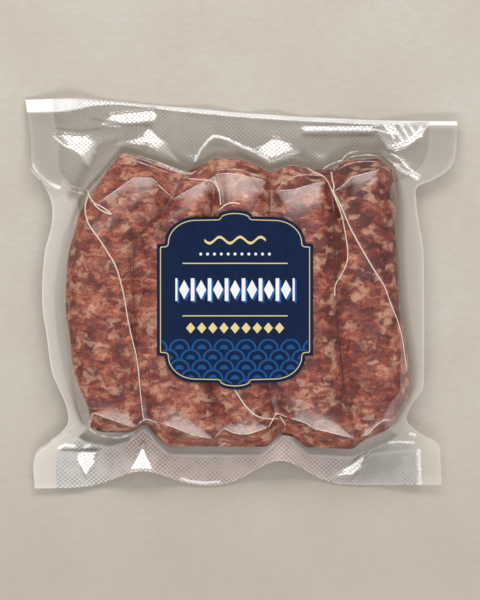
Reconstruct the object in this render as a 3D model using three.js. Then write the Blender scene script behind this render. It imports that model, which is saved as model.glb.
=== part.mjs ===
// A vacuum pack of fresh sausage links: a clear embossed pouch shrunk tight over a row of five links,
// lying on its back, with a die-cut label stuck on the front.
// Millimetres, +Z up, +Y towards the pouch's top weld. The origin is on the table, under the pack's middle.
import * as THREE from "three";

// The links, from left to right. Each lies along Y and is told by its centre line and its half width,
// given at the same six stations, and by where its two tied ends are.
const STATIONS = [-70, -45, -5, 25, 45, 65];
const LINKS = [
  {
    centre: [-62.5, -66.5, -70.4, -67.8, -57.3, -44.5],
    halfWidth: [15, 16, 17.1, 16.4, 21.2, 19.5],
    top: { y: 66, lean: -0.31 },
    bottom: { y: -69.8, lean: 0 },
  },
  {
    centre: [-29.8, -32.8, -36.5, -34.5, -25, -19],
    halfWidth: [17.7, 17.7, 16.8, 17, 11, 7],
    top: { y: 59, lean: 0 },
    bottom: { y: -77, lean: 0 },
  },
  {
    centre: [4, -0.9, -3, -1.5, 0.3, 0.3],
    halfWidth: [16, 14.2, 16.8, 16, 14.4, 14],
    top: { y: 67.5, lean: -0.1 },
    bottom: { y: -77.5, lean: 0 },
  },
  {
    centre: [39, 32, 30.5, 30.8, 30.2, 29.5],
    halfWidth: [19, 18.9, 16.8, 16.2, 15.5, 14.5],
    top: { y: 64.5, lean: 0 },
    bottom: { y: -78.2, lean: 0 },
  },
  {
    centre: [66.5, 67, 62.8, 61.8, 61.2, 59.5],
    halfWidth: [12, 16, 15.5, 14.8, 15.4, 15],
    top: { y: 68, lean: 0 },
    bottom: { y: -71, lean: 0.15 },
  },
];
const PRESS = 1.055; // how far neighbours reach past their shared wall, so that the valley stays shallow
const LINK_MIDDLE_Z = 15;
const LINK_CROWN = 16.4; // from a link's middle up to its crown
const LINK_BELLY = 15.7; // the same downwards, more than the middle's height, so that the belly is flat
const SECTION_POWER = 2.3; // 2 is an ellipse, and more is squarer: the vacuum presses the links square
const PLAN_POWER = 2.8;
const END_LENGTH = 18; // how long the rounded end of a link is
const TENT_START = 0.9; // the share of the half width where the film leaves the link and spans to the weld
const CREASE = 1.4; // how far the film rounds over where a link's film meets the margin

// The pouch's outline. The side welds are pulled in where the film climbs over the links, and the four
// corners stay wide, as ears.
const LEFT_EDGE = {
  y: [-98.5, -81, -74, -66, -58, -50, -40, -22, -5, 20, 35, 46, 54, 62, 76, 97.5],
  x: [
    -104, -103.7, -95.3, -87.5, -87.4, -90.5, -94.8, -97.5, -99.8, -98.6, -95, -95.4, -99.3, -105.2, -106, -109.5,
  ],
};
const RIGHT_EDGE = {
  y: [-96.5, -83, -76, -70.5, -64, -56, -49, -40, 0, 22, 36, 46, 54, 58.5, 65, 74, 86.5],
  x: [101, 100.3, 98.8, 89.5, 83.2, 85.8, 90.8, 91.8, 91.9, 91.5, 89.2, 88, 89, 98, 105.5, 108.3, 109],
};
const TOP_EDGE = { x: [-109.5, -77.5, -45, 0, 30, 76, 109], y: [97.5, 97.8, 95, 91, 89, 87, 86.5] };
const BOTTOM_EDGE = { x: [-104, 101], y: [-98.5, -96.5] };

// The arches of film that run out from the nips between two links' ends to the pouch's edge.
// pull is how far the arch draws the edge in, and rise is its height over the lowest film.
const ARCHES = [
  { x: -49.5, width: 14, rise: 9.5, pull: 8.5, side: -1 },
  { x: 19.5, width: 14, rise: 11, pull: 13.2, side: -1 },
  { x: -17, width: 12, rise: 5, pull: 0, side: 1 },
  { x: 16, width: 10, rise: 4.5, pull: 0, side: 1 },
  { x: 46, width: 11, rise: 4, pull: 0, side: 1 },
  { x: -88, width: 13, rise: 4, pull: 0, side: 1 },
];
const FILM = 0.8; // the two layers where they lie together
const WELD_Z = 12.5; // where the two layers meet beside a link
const SIDE_EDGE_Z = 7;
const END_EDGE_Z = 1.6;
const SIDE_FALL = 11; // how fast the film comes down from the weld to the edge
const END_FALL = 9;
const CORE_END_Y = 52; // past this the film belongs to the ends, before it to the sides

// The grid that the pouch is drawn on: its columns follow the links.
const SPANS_ON_LINK = 7;
const SPANS_ON_MARGIN = 4;
const ROW_BANDS = [
  { to: -79, rows: 6 },
  { to: -50, rows: 11 },
  { to: 44, rows: 12 },
  { to: 71, rows: 10 },
  { to: 94, rows: 6 },
];
const ROW_START = -97.5;

// The label: a plaque with notched sides, round shoulders and a small crest at the top and bottom.
const LABEL = { x: -2.95, y: -3.35, bandHalfWidth: 38.6, bodyHalfWidth: 34.7, notchY: 27.6, shoulderY: 41 };
const SHOULDER = { across: 15.4, spans: 6 };
const CREST = { halfWidth: 8.5, rise: 3.1, spans: 4 };
const LABEL_THICKNESS = 0.35;
const LABEL_LIFT = 0.4; // over the film
const LABEL_DIP = 2.2; // how far it sinks between two links
const LABEL_COLUMNS = 20;
const LABEL_BAND_ROWS = 5;
const LABEL_CORNER = 0.12; // how far apart the two rows are that make a square corner

const clamp = THREE.MathUtils.clamp;
const lerp = THREE.MathUtils.lerp;

// A smooth line through the given values at the given stations, level beyond its two ends.
function through(stations, values, at) {
  const last = stations.length - 1;
  const p = clamp(at, stations[0], stations[last]);
  let k = 0;
  while (k < last - 1 && p > stations[k + 1]) k += 1;
  const slope = (i) => {
    const a = Math.max(i - 1, 0);
    const b = Math.min(i + 1, last);
    return (values[b] - values[a]) / (stations[b] - stations[a]);
  };
  const span = stations[k + 1] - stations[k];
  const t = (p - stations[k]) / span;
  const rise = t * t * (3 - 2 * t);
  const start = t * (1 - t) * (1 - t) * span * slope(k);
  const end = t * t * (t - 1) * span * slope(k + 1);
  return lerp(values[k], values[k + 1], rise) + start + end;
}

const centreOf = (link, y) => through(STATIONS, link.centre, y);
const halfWidthOf = (link, y) => PRESS * through(STATIONS, link.halfWidth, y);

// How far a point is from a link's centre line, where 1 is the link's outline seen from above.
function reach(link, x, y) {
  const aside = (x - centreOf(link, y)) / halfWidthOf(link, y);
  const past = (end, sign) => {
    const line = end.y + end.lean * (x - centreOf(link, end.y));
    return Math.max(0, (sign * (y - line) + END_LENGTH) / END_LENGTH);
  };
  const parts = [Math.abs(aside), past(link.top, 1), past(link.bottom, -1)];
  return parts.reduce((sum, part) => sum + part ** PLAN_POWER, 0) ** (1 / PLAN_POWER);
}

// The film's height over a link's middle, 1 at the crown: a squared ellipse, then its straight tangent.
function bulge(share) {
  const round = (s) => (1 - s ** SECTION_POWER) ** (1 / SECTION_POWER);
  if (share <= TENT_START) return round(share);
  const level = round(TENT_START);
  const slope = -(TENT_START ** (SECTION_POWER - 1)) * level ** (1 - SECTION_POWER);
  return level + slope * (share - TENT_START);
}

// The larger and the smaller of two heights, with the crease between them rounded over.
const softMax = (a, b) => (a + b + Math.hypot(a - b, CREASE)) / 2;
const softMin = (a, b) => (a + b - Math.hypot(a - b, CREASE)) / 2;

const nearest = (x, y) => Math.min(...LINKS.map((link) => reach(link, x, y)));

// The height of the two layers where they lie together, outside the links.
function marginZ(x, y) {
  const endward = THREE.MathUtils.smoothstep(Math.abs(y), CORE_END_Y, CORE_END_Y + 22);
  const edge = lerp(SIDE_EDGE_Z, END_EDGE_Z, endward);
  const fall = lerp(SIDE_FALL, END_FALL, endward);
  const away = Math.max(0, nearest(x, y) - 1) * END_LENGTH;
  const base = edge + (WELD_Z - edge) * Math.exp(-away / fall);
  const arches = ARCHES.filter((arch) => arch.side * y > 0).reduce(
    (sum, arch) => sum + arch.rise * Math.exp(-(((x - arch.x) / arch.width) ** 2)) * endward,
    0,
  );
  return softMin(base + arches, WELD_Z);
}

const pouchTop = (x, y) =>
  softMax(LINK_MIDDLE_Z + LINK_CROWN * bulge(nearest(x, y)), marginZ(x, y) + FILM / 2);
const pouchBottom = (x, y) =>
  Math.max(0, softMin(LINK_MIDDLE_Z - LINK_BELLY * bulge(nearest(x, y)), marginZ(x, y) - FILM / 2));

// The pouch's eight column lines at a height y: its edges, the outer links' sides and the valleys.
function columnLines(y) {
  const sides = LINKS.map((link) => ({ c: centreOf(link, y), w: halfWidthOf(link, y) }));
  const valleys = sides.slice(1).map((b, i) => {
    const a = sides[i];
    return (a.c * b.w + b.c * a.w) / (a.w + b.w);
  });
  const first = sides[0].c - sides[0].w;
  const last = sides[4].c + sides[4].w;
  const left = through(LEFT_EDGE.y, LEFT_EDGE.x, y);
  const right = through(RIGHT_EDGE.y, RIGHT_EDGE.x, y);
  return [left, first, ...valleys, last, right];
}

const COLUMNS = [];
for (let band = 0; band < LINKS.length + 2; band += 1) {
  const onLink = band > 0 && band <= LINKS.length;
  const spans = onLink ? SPANS_ON_LINK : SPANS_ON_MARGIN;
  for (let k = 0; k < spans; k += 1) {
    const t = k / spans;
    const eased = onLink ? (t + 0.5 - 0.5 * Math.cos(Math.PI * t)) / 2 : t;
    COLUMNS.push({ band, t: eased });
  }
}
COLUMNS.push({ band: LINKS.length + 1, t: 1 });

const ROWS = [ROW_START];
for (const { to, rows } of ROW_BANDS) {
  const from = ROWS[ROWS.length - 1];
  for (let k = 1; k <= rows; k += 1) ROWS.push(lerp(from, to, k / rows));
}

// Where the grid's row y meets its column, after the rows are fitted to the top and bottom edges.
function pouchPoint(column, row) {
  const lines = columnLines(row);
  const x = lerp(lines[column.band], lines[column.band + 1], column.t);
  const pull = ARCHES.filter((arch) => arch.side < 0).reduce(
    (sum, arch) => sum + arch.pull * Math.exp(-(((x - arch.x) / (arch.width * 1.3)) ** 2)),
    0,
  );
  const lowest = through(BOTTOM_EDGE.x, BOTTOM_EDGE.y, x) + pull;
  const highest = through(TOP_EDGE.x, TOP_EDGE.y, x);
  const down = clamp((CORE_END_Y + row) / (CORE_END_Y + ROW_START), 0, 1);
  const up = clamp((row - CORE_END_Y) / (ROWS[ROWS.length - 1] - CORE_END_Y), 0, 1);
  const y = row + down * (lowest - ROW_START) + up * (highest - ROWS[ROWS.length - 1]);
  return { x, y };
}

// A closed solid on a grid: an upper and a lower face, and a wall round the edge.
// point(i, j) gives the upper and lower corners as { x, y, top, bottom }.
function slab(columns, rows, point) {
  const positions = [];
  for (const face of ["top", "bottom"]) {
    for (let j = 0; j <= rows; j += 1) {
      for (let i = 0; i <= columns; i += 1) {
        const p = point(i, j);
        positions.push(p.x, p.y, p[face]);
      }
    }
  }
  const lower = (columns + 1) * (rows + 1);
  const at = (i, j) => j * (columns + 1) + i;
  const index = [];
  for (let j = 0; j < rows; j += 1) {
    for (let i = 0; i < columns; i += 1) {
      const [a, b, c, d] = [at(i, j), at(i + 1, j), at(i + 1, j + 1), at(i, j + 1)];
      index.push(a, b, c, a, c, d);
      index.push(a + lower, c + lower, b + lower, a + lower, d + lower, c + lower);
    }
  }
  const rim = [];
  for (let i = 0; i < columns; i += 1) rim.push(at(i, 0));
  for (let j = 0; j < rows; j += 1) rim.push(at(columns, j));
  for (let i = columns; i > 0; i -= 1) rim.push(at(i, rows));
  for (let j = rows; j > 0; j -= 1) rim.push(at(0, j));
  rim.forEach((a, k) => {
    const b = rim[(k + 1) % rim.length];
    index.push(a, a + lower, b + lower, a, b + lower, b);
  });
  const geometry = new THREE.BufferGeometry();
  geometry.setAttribute("position", new THREE.Float32BufferAttribute(positions, 3));
  geometry.setIndex(index);
  geometry.computeVertexNormals();
  return geometry;
}

function pouch() {
  const geometry = slab(COLUMNS.length - 1, ROWS.length - 1, (i, j) => {
    const { x, y } = pouchPoint(COLUMNS[i], ROWS[j]);
    return { x, y, top: pouchTop(x, y), bottom: pouchBottom(x, y) };
  });
  const film = new THREE.MeshStandardMaterial({ color: 0xa8685a, roughness: 0.2, metalness: 0 });
  const mesh = new THREE.Mesh(geometry, film);
  mesh.name = "pouch";
  return mesh;
}

// The upper half of the label's outline, from its middle up: its height and its half width there.
function labelHalf() {
  const outline = [];
  for (let k = 0; k <= LABEL_BAND_ROWS; k += 1) {
    outline.push({ up: (LABEL.notchY * k) / LABEL_BAND_ROWS, half: LABEL.bandHalfWidth });
  }
  for (let k = 0; k <= SHOULDER.spans; k += 1) {
    const turn = (Math.PI / 2) * (k / SHOULDER.spans);
    const start = LABEL.notchY + LABEL_CORNER;
    const up = start + (LABEL.shoulderY - start) * Math.sin(turn);
    outline.push({ up, half: LABEL.bodyHalfWidth - SHOULDER.across * (1 - Math.cos(turn)) });
  }
  for (let k = 0; k < CREST.spans; k += 1) {
    const turn = (Math.PI / 2) * (k / CREST.spans);
    const start = LABEL.shoulderY + LABEL_CORNER;
    outline.push({ up: start + CREST.rise * Math.sin(turn), half: CREST.halfWidth * Math.cos(turn) });
  }
  return outline;
}

// The label spans from crown to crown, and follows the film past the outermost crowns.
function labelZ(x, y) {
  const crowns = LINKS.slice(1, 4).map((link) => centreOf(link, y));
  const crownZ = LINK_MIDDLE_Z + LINK_CROWN;
  const onFilm = pouchTop(x, y);
  if (x <= crowns[0] || x >= crowns[2]) return onFilm + LABEL_LIFT;
  const k = x < crowns[1] ? 0 : 1;
  const share = (x - crowns[k]) / (crowns[k + 1] - crowns[k]);
  return Math.max(onFilm, crownZ - LABEL_DIP * Math.sin(Math.PI * share) ** 2) + LABEL_LIFT;
}

function label() {
  const half = labelHalf();
  const lower = half.slice(1).reverse();
  const rows = [...lower.map((row) => ({ up: -row.up, half: row.half })), ...half];
  const geometry = slab(LABEL_COLUMNS, rows.length - 1, (i, j) => {
    const x = LABEL.x + rows[j].half * ((2 * i) / LABEL_COLUMNS - 1);
    const y = LABEL.y + rows[j].up;
    const bottom = labelZ(x, y);
    return { x, y, top: bottom + LABEL_THICKNESS, bottom };
  });
  const paper = new THREE.MeshStandardMaterial({ color: 0x13294b, roughness: 0.45, metalness: 0 });
  const mesh = new THREE.Mesh(geometry, paper);
  mesh.name = "label";
  return mesh;
}

const pack = new THREE.Group();
pack.add(pouch(), label());
const box = new THREE.Box3().setFromObject(pack);
const middle = box.getCenter(new THREE.Vector3());
pack.position.set(-middle.x, -middle.y, -box.min.z);

export default pack;
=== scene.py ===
# %% [markdown]
# # A vacuum pack of fresh sausage links
# Five coarse-ground links lie side by side in a clear pouch. The air is drawn out, so the film clings to the
# links, spans from link to link and lies flat around them. A die-cut label is stuck on the front.
# The packed frame gives the pouch and the label as plain solids. This lesson replaces them with the film,
# the links, the twine, the casing's loose ends and the printed label, all in the frame's own coordinates.

# %% Load the frame
import math

import bpy
import numpy as np
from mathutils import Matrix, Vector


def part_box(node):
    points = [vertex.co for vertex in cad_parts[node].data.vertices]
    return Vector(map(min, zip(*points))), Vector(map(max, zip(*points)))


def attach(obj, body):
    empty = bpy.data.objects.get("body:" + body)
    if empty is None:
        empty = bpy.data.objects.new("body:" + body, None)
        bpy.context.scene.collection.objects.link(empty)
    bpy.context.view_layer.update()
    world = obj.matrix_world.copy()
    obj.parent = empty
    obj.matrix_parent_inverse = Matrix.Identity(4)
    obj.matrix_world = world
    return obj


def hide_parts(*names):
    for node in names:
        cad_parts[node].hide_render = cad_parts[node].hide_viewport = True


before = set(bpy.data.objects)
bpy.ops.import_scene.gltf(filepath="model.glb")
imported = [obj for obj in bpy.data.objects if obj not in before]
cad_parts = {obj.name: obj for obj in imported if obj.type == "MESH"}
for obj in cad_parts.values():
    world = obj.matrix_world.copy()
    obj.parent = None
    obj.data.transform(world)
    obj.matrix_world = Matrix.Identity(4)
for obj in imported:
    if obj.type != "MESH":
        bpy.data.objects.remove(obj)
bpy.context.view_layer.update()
MM = 0.001
label_low, label_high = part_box("label")

# %% [markdown]
# ## The links' measures
# Every shape below is worked out in millimetres over the table, with X across the links and Y along them.
# A link is told by its centre line and its half width at six stations. The same numbers shape the packed
# solids, so film and meat land where the frame has them.

# %% The links
STATIONS = [-70, -45, -5, 25, 45, 65]
LINKS = [
    {"centre": [-62.5, -66.5, -70.4, -67.8, -57.3, -44.5], "half": [15, 16, 17.1, 16.4, 21.2, 19.5]},
    {"centre": [-29.8, -32.8, -36.5, -34.5, -25, -19], "half": [17.7, 17.7, 16.8, 17, 11, 7]},
    {"centre": [4, -0.9, -3, -1.5, 0.3, 0.3], "half": [16, 14.2, 16.8, 16, 14.4, 14]},
    {"centre": [39, 32, 30.5, 30.8, 30.2, 29.5], "half": [19, 18.9, 16.8, 16.2, 15.5, 14.5]},
    {"centre": [66.5, 67, 62.8, 61.8, 61.2, 59.5], "half": [12, 16, 15.5, 14.8, 15.4, 15]},
]
PRESS = 1.055
MIDDLE_Z = 15.0
CROWN = 16.4
BELLY = 15.7
SECTION_POWER = 2.3
END_LENGTH = 10.0
TENT_START = 0.9
LABEL_CENTRE = (-2.95, -3.35)

# The packed model is centred on its box, so the drawing's zero is a little off the frame's.
shift = np.array([
    (label_low.x + label_high.x) / 2 / MM - LABEL_CENTRE[0],
    (label_low.y + label_high.y) / 2 / MM - LABEL_CENTRE[1],
    0.0,
])
print("drawing to frame, mm:", shift.round(3))

# %% [markdown]
# ## Smooth helpers
# The shapes of soft things could be sculpted or simulated. Here each is a formula, so that one number changes
# one thing about it, and the formulas are built from a few smooth parts that take whole arrays.

# %% Smooth helpers


def through(stations, values, at):
    """A smooth line through values at stations: cubics whose slope at a station is the chord over its
    neighbours, level past the ends."""
    s = np.asarray(stations, float)
    v = np.asarray(values, float)
    p = np.clip(at, s[0], s[-1])
    k = np.searchsorted(s[1:-1], p)
    low = np.maximum(np.arange(len(s)) - 1, 0)
    high = np.minimum(np.arange(len(s)) + 1, len(s) - 1)
    slope = (v[high] - v[low]) / (s[high] - s[low])
    span = s[k + 1] - s[k]
    t = (p - s[k]) / span
    rise = t * t * (3 - 2 * t)
    bend = t * (1 - t) * span * ((1 - t) * slope[k] - t * slope[k + 1])
    return v[k] + (v[k + 1] - v[k]) * rise + bend


def soft_max(a, b, crease):
    """The larger of two heights, with the crease rounded over: half of a + b + hypot(a - b, crease)."""
    return (a + b + np.hypot(a - b, crease)) / 2


def soft_min(a, b, crease):
    """The smaller of two heights, with the crease rounded over: half of a + b - hypot(a - b, crease)."""
    return (a + b - np.hypot(a - b, crease)) / 2


def ramp(value, start, stop):
    """0 before start, 1 after stop, and an S curve between. It falls where stop is the smaller."""
    t = np.clip((value - start) / (stop - start), 0, 1)
    return t * t * (3 - 2 * t)


def lumps(points, size, seed):
    """Smooth random lumps between -1 and 1: random values at the corners of a lattice with cells of the
    given size, blended with an S curve along each axis."""
    random = np.random.default_rng(seed)
    table = random.uniform(-1, 1, (32, 32, 32))
    place = np.asarray(points, float) / size
    cell = np.floor(place).astype(int)
    t = place - cell
    t = t * t * (3 - 2 * t)
    total = np.zeros(place.shape[:-1])
    for corner in np.ndindex(2, 2, 2):
        index = tuple(((cell + corner) % len(table))[..., k] for k in range(3))
        weight = np.prod(np.where(corner, t, 1 - t), axis=-1)
        total += table[index] * weight
    return total


def along(route, spacing):
    """Points at an even spacing along a smooth curve through a route's points."""
    route = np.asarray(route, float)
    step = np.linalg.norm(np.diff(route, axis=0), axis=1)
    place = np.concatenate([[0], np.cumsum(step)])
    count = max(int(place[-1] / spacing), 4)
    at = np.linspace(0, place[-1], count)
    return np.stack([through(place, route[:, k], at) for k in range(route.shape[1])], axis=1)


def distance_to(route, x, y):
    """How far each plan point is from a polyline, and the polyline's third column there, if it has one."""
    route = np.asarray(route, float)
    best = np.full(np.shape(x), np.inf)
    value = np.zeros(np.shape(x))
    for a, b in zip(route[:-1], route[1:]):
        along_x, along_y = b[0] - a[0], b[1] - a[1]
        t = np.clip(((x - a[0]) * along_x + (y - a[1]) * along_y) / (along_x**2 + along_y**2), 0, 1)
        away = np.hypot(x - a[0] - t * along_x, y - a[1] - t * along_y)
        nearer = away < best
        best = np.where(nearer, away, best)
        if route.shape[1] > 2:
            value = np.where(nearer, a[2] + t * (b[2] - a[2]), value)
    return best, value


print("heights 1 and 1.2 meet in a soft crease at", round(float(soft_max(1.0, 1.2, 0.5)), 3))

# %% [markdown]
# ## The height functions
# The film can be modelled as cloth pulled down on the links, but a vacuum pulls it so tight that a formula
# is closer. Over a link it is a squared ellipse, and past a set share of the width it leaves in a straight
# tangent. Between two links the tangents meet in a shallow crease, as the links are pressed together.
# At the ends three lines across the pack rule the film: the fold where it bends down over the meat, the
# meat's outline, where both layers meet, and the fold where the margin turns level. In between it is flat
# across, which gives stiff film its facets.

# %% The lines across the ends
END_FOLDS = {
    1: [(-80, 42), (-73, 45), (-69.5, 45.7), (-53.2, 57.1), (-44.1, 56.9), (-38.9, 51.6), (-33.5, 46.6),
        (-26.4, 50.8), (-14.4, 57), (-12.3, 59.2), (-6.1, 59.5), (0.5, 58.3), (8.9, 56.4), (11.3, 56.6),
        (15.9, 50.8), (18, 50.8), (26.8, 51.3), (32.1, 53), (38.8, 54.8), (41.5, 57), (45.5, 49.9),
        (51.3, 53.9), (54.9, 57.5), (65.6, 60.2), (68.7, 61.5), (76, 57), (84, 44)],
    -1: [(-86, -52), (-80, -60), (-75, -62), (-73.6, -59.3), (-53.5, -66.4), (-48, -63), (-45.5, -62.9),
         (-35.8, -65.7), (-23.6, -70.5), (-13.9, -72.6), (-8.5, -67), (-6.8, -68), (-3.7, -69.5),
         (3.5, -70), (9.5, -68), (13.7, -66.5), (17.5, -59.5), (20, -60.7), (26.7, -62.9), (31.6, -64.2),
         (36.5, -67.4), (42.7, -68.7), (56.6, -72.3), (63.3, -69.9), (66.5, -66), (71, -62.7), (75, -63.5),
         (80, -56), (86, -46)],
}
MEAT_ENDS = {
    1: [(-88, 34), (-82, 45), (-76.5, 51.5), (-59, 70.5), (-25.5, 59.8), (-21.5, 62.5), (-13, 67.5),
        (-0.5, 67), (8.5, 63.5), (14, 60.5), (25.5, 64), (42.5, 60), (44.5, 61.5), (52, 66), (69, 67.5),
        (76.8, 60.5), (80, 52), (88, 40)],
    -1: [(-90, -44), (-80, -62), (-76, -67.3), (-69.5, -69.8), (-55, -69.3), (-48, -65), (-42, -72),
         (-36.5, -76.8), (13, -77), (21.9, -67.7), (28, -73.5), (32.2, -77.2), (55.7, -78.2), (60.3, -73.8),
         (71.6, -69.5), (75.2, -66.7), (79, -60), (82.9, -52.7), (90, -42)],
}
MARGIN_FOLDS = {
    1: [(-100, 46), (-86, 56), (-76.7, 64.3), (-70, 73.5), (-60.4, 75.5), (-46, 74.4), (-38, 70.5),
        (-31, 67.5), (-24, 64), (-20.5, 71.7), (-16.6, 76.5), (-13.8, 78.9), (-6.6, 77.2), (0.6, 73.7),
        (7.8, 70.7), (15.2, 65.7), (22.1, 69.1), (30.2, 69.8), (41, 63), (48, 70), (56, 73.5), (70, 73),
        (80, 67), (92, 52)],
    -1: [(-100, -56), (-86, -70), (-78.5, -75.5), (-66, -78), (-56, -75), (-48.5, -68), (-43, -75),
         (-36, -81.8), (10, -82.3), (16, -77), (22.3, -71), (28, -77), (34, -81.8), (56, -83), (64, -80),
         (75, -75), (80, -72), (92, -62)],
}
CORNER_ROUND = 1.2
OUTLINE_SLANT = 0.9
LEAST_WIDTH = 1.5
LINK_MIDDLES = [-66, -32, 0, 31, 62]
FOLD_APPROACH = {1: [20, 11, 20, 18, 9], -1: [9, 12, 10, 16, 5]}
FOLD_SLOPE = 0.5
FOLD_RIDGE, FOLD_RIDGE_WIDTH = 0.18, 0.7
WELD_Z = 12.5
LEAST_FALL = 3.0
DIVE_SLOPE = 1.5
VALLEY_POWER, VALLEY_START = 2.6, 0.65


def across_ends(lines, side, x):
    """The y of a line across an end, with its corners a little rounded: the mean of three near places."""
    line = np.array(lines[side])
    return sum(
        weight * np.interp(x + step * CORNER_ROUND, line[:, 0], line[:, 1])
        for weight, step in ((0.25, -1), (0.5, 0), (0.25, 1))
    )


def centre_of(link, y):
    """The x of a link's centre line at y, on the smooth line through its stations."""
    return through(STATIONS, link["centre"], y)


def half_of(link, y):
    """A link's half width at y: its stations' half width times PRESS, as the vacuum widens it."""
    return PRESS * through(STATIONS, link["half"], y)


def across(x, y):
    """The smallest share of a half width that a point is from any link's centre line, and whether the point
    is on the outer side of the outer links."""
    shares = [np.abs(x - centre_of(link, y)) / half_of(link, y) for link in LINKS]
    outer = (x < centre_of(LINKS[0], y)) | (x > centre_of(LINKS[-1], y))
    return np.min(shares, axis=0), outer


def outside(x, y):
    """How far a point is outside the meat's outline, in mm and 0 within it. A step along Y counts a little
    less than one along X, as the outline slants there."""
    first = centre_of(LINKS[0], y) - half_of(LINKS[0], y)
    last = centre_of(LINKS[-1], y) + half_of(LINKS[-1], y)
    aside = np.maximum(0, np.maximum(first - x, x - last))
    above = np.maximum(0, y - across_ends(MEAT_ENDS, 1, x))
    below = np.maximum(0, across_ends(MEAT_ENDS, -1, x) - y)
    return np.hypot(aside, OUTLINE_SLANT * (above + below))


def round_over(share, power):
    """A squared ellipse's height, 1 in its middle: 1 less the share of its half width to a power, and of
    that the power's root."""
    return np.maximum(0, 1 - np.clip(share, 0, 1) ** power) ** (1 / power)


def tent(share, power, start):
    """A squared ellipse's height, 1 at the crown, that goes on in its straight tangent past start."""
    level = round_over(start, power)
    slope = -(start ** (power - 1)) * level ** (1 - power)
    return np.where(share <= start, round_over(share, power), level + slope * (share - start))


def bulge(x, y):
    """Height over the links' middle, 1 at a crown: steep at the pack's two sides, shallow in the valleys."""
    share, outer = across(x, y)
    return np.where(outer, tent(share, SECTION_POWER, TENT_START), tent(share, VALLEY_POWER, VALLEY_START))


def over_links(x, y, height):
    """A film layer over or under the links, height from their middle to the crown. Before an end's fold its
    slope grows quickly, then levels off: with t from 0 to 1 it has fallen t squared less a third of t cubed.
    From the fold to the meat's outline it falls straight to the weld, and past that it dives out of the
    margin's way."""
    toward = np.sign(height)
    z = MIDDLE_Z + height * bulge(x, y)
    for side in (1, -1):
        fold = across_ends(END_FOLDS, side, x)
        beyond = side * (y - fold)
        length = np.interp(x, LINK_MIDDLES, FOLD_APPROACH[side])
        t = np.clip(beyond / length + 1, 0, 1)
        z = z - toward * FOLD_SLOPE * length * (t * t - t**3 / 3)
        width = np.maximum(side * (across_ends(MEAT_ENDS, side, x) - fold), LEAST_WIDTH)
        share = np.maximum(0, beyond / width)
        z = z - toward * np.maximum(toward * (z - WELD_Z), LEAST_FALL) * share
        z = z - toward * DIVE_SLOPE * np.maximum(0, beyond - width)
        z = z + toward * FOLD_RIDGE * np.exp(-((beyond / FOLD_RIDGE_WIDTH) ** 2))
    return z


print("film over the middle link's crown:", over_links(np.zeros(1), np.zeros(1), CROWN).round(2))

# %% [markdown]
# ## The pouch's outline and its margins
# The side welds are pulled in where the film climbs over the links, and the corners stay wide. In the
# margins the two layers lie together: steep next to the links, then nearly level out to the edge. Where the
# nip between two links pulls on the margin, the film arches up.

# %% The margins
LEFT_EDGE = {
    "y": [-98.5, -81, -74, -66, -58, -50, -40, -22, -5, 20, 35, 46, 54, 62, 76, 97.5],
    "x": [-104, -103.7, -95.3, -87.5, -87.4, -90.5, -94.8, -97.5, -99.8, -98.6, -95, -95.4, -99.3, -105.2,
          -106, -109.5],
}
RIGHT_EDGE = {
    "y": [-96.5, -83, -76, -70.5, -64, -56, -49, -40, 0, 22, 36, 46, 54, 58.5, 65, 74, 86.5],
    "x": [101, 100.3, 98.8, 89.5, 83.2, 85.8, 90.8, 91.8, 91.9, 91.5, 89.2, 88, 89, 98, 105.5, 108.3, 109],
}
TOP_EDGE = {"x": [-109.5, -77.5, -45, 0, 30, 76, 109], "y": [97.5, 97.8, 95, 91, 89, 87, 86.5]}
BOTTOM_EDGE = {"x": [-104, 101], "y": [-98.5, -96.5]}
ARCHES = [
    {"x": -49.5, "width": 14, "rise": 9.5, "pull": 8.5, "side": -1},
    {"x": 19.5, "width": 14, "rise": 11, "pull": 13.2, "side": -1},
    {"x": -17, "width": 12, "rise": 2, "pull": 0, "side": 1},
    {"x": 16, "width": 10, "rise": 2.5, "pull": 0, "side": 1},
    {"x": 46, "width": 11, "rise": 1.5, "pull": 0, "side": 1},
    {"x": -88, "width": 13, "rise": 4, "pull": 0, "side": 1},
]
PULL_SPREAD = 1.3
LAYERS = 0.3
SIDE_EDGE_Z = 7.0
SIDE_FALL = 11.0
EDGE_LEVEL = {"x": [-109, -84, -70, -40, 66, 86, 109], "z": [3.2, 3.0, 1.6, 1.25, 1.25, 4.0, 5.0]}
END_SHALLOW = 0.08
ROLL_WIDTH = {"x": [-109, -88, -74, -60, -28, 109], "mm": [6.5, 6.5, 3.2, 1.6, 2.2, 2.2]}
ROLL_SLOPE = 0.34
CORE_END_Y = 52.0
END_BLEND = 20.0
LEVEL_CREASE = 1.5
ROW_START = -97.5
ROW_STOP = 94.0
ROW_MIDDLE = 40.0


def bell(x, arch, spread=1.0):
    """1 at an arch's middle and less beside it: e to the power of minus the squared share of its width."""
    return np.exp(-(((x - arch["x"]) / (arch["width"] * spread)) ** 2))


def edge_y(x, side):
    """The y of the pouch's top or bottom edge at x. Under an arch the bottom edge is pulled in."""
    if side > 0:
        return through(TOP_EDGE["x"], TOP_EDGE["y"], x)
    pull = sum(arch["pull"] * bell(x, arch, PULL_SPREAD) for arch in ARCHES)
    return through(BOTTOM_EDGE["x"], BOTTOM_EDGE["y"], x) + pull


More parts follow.
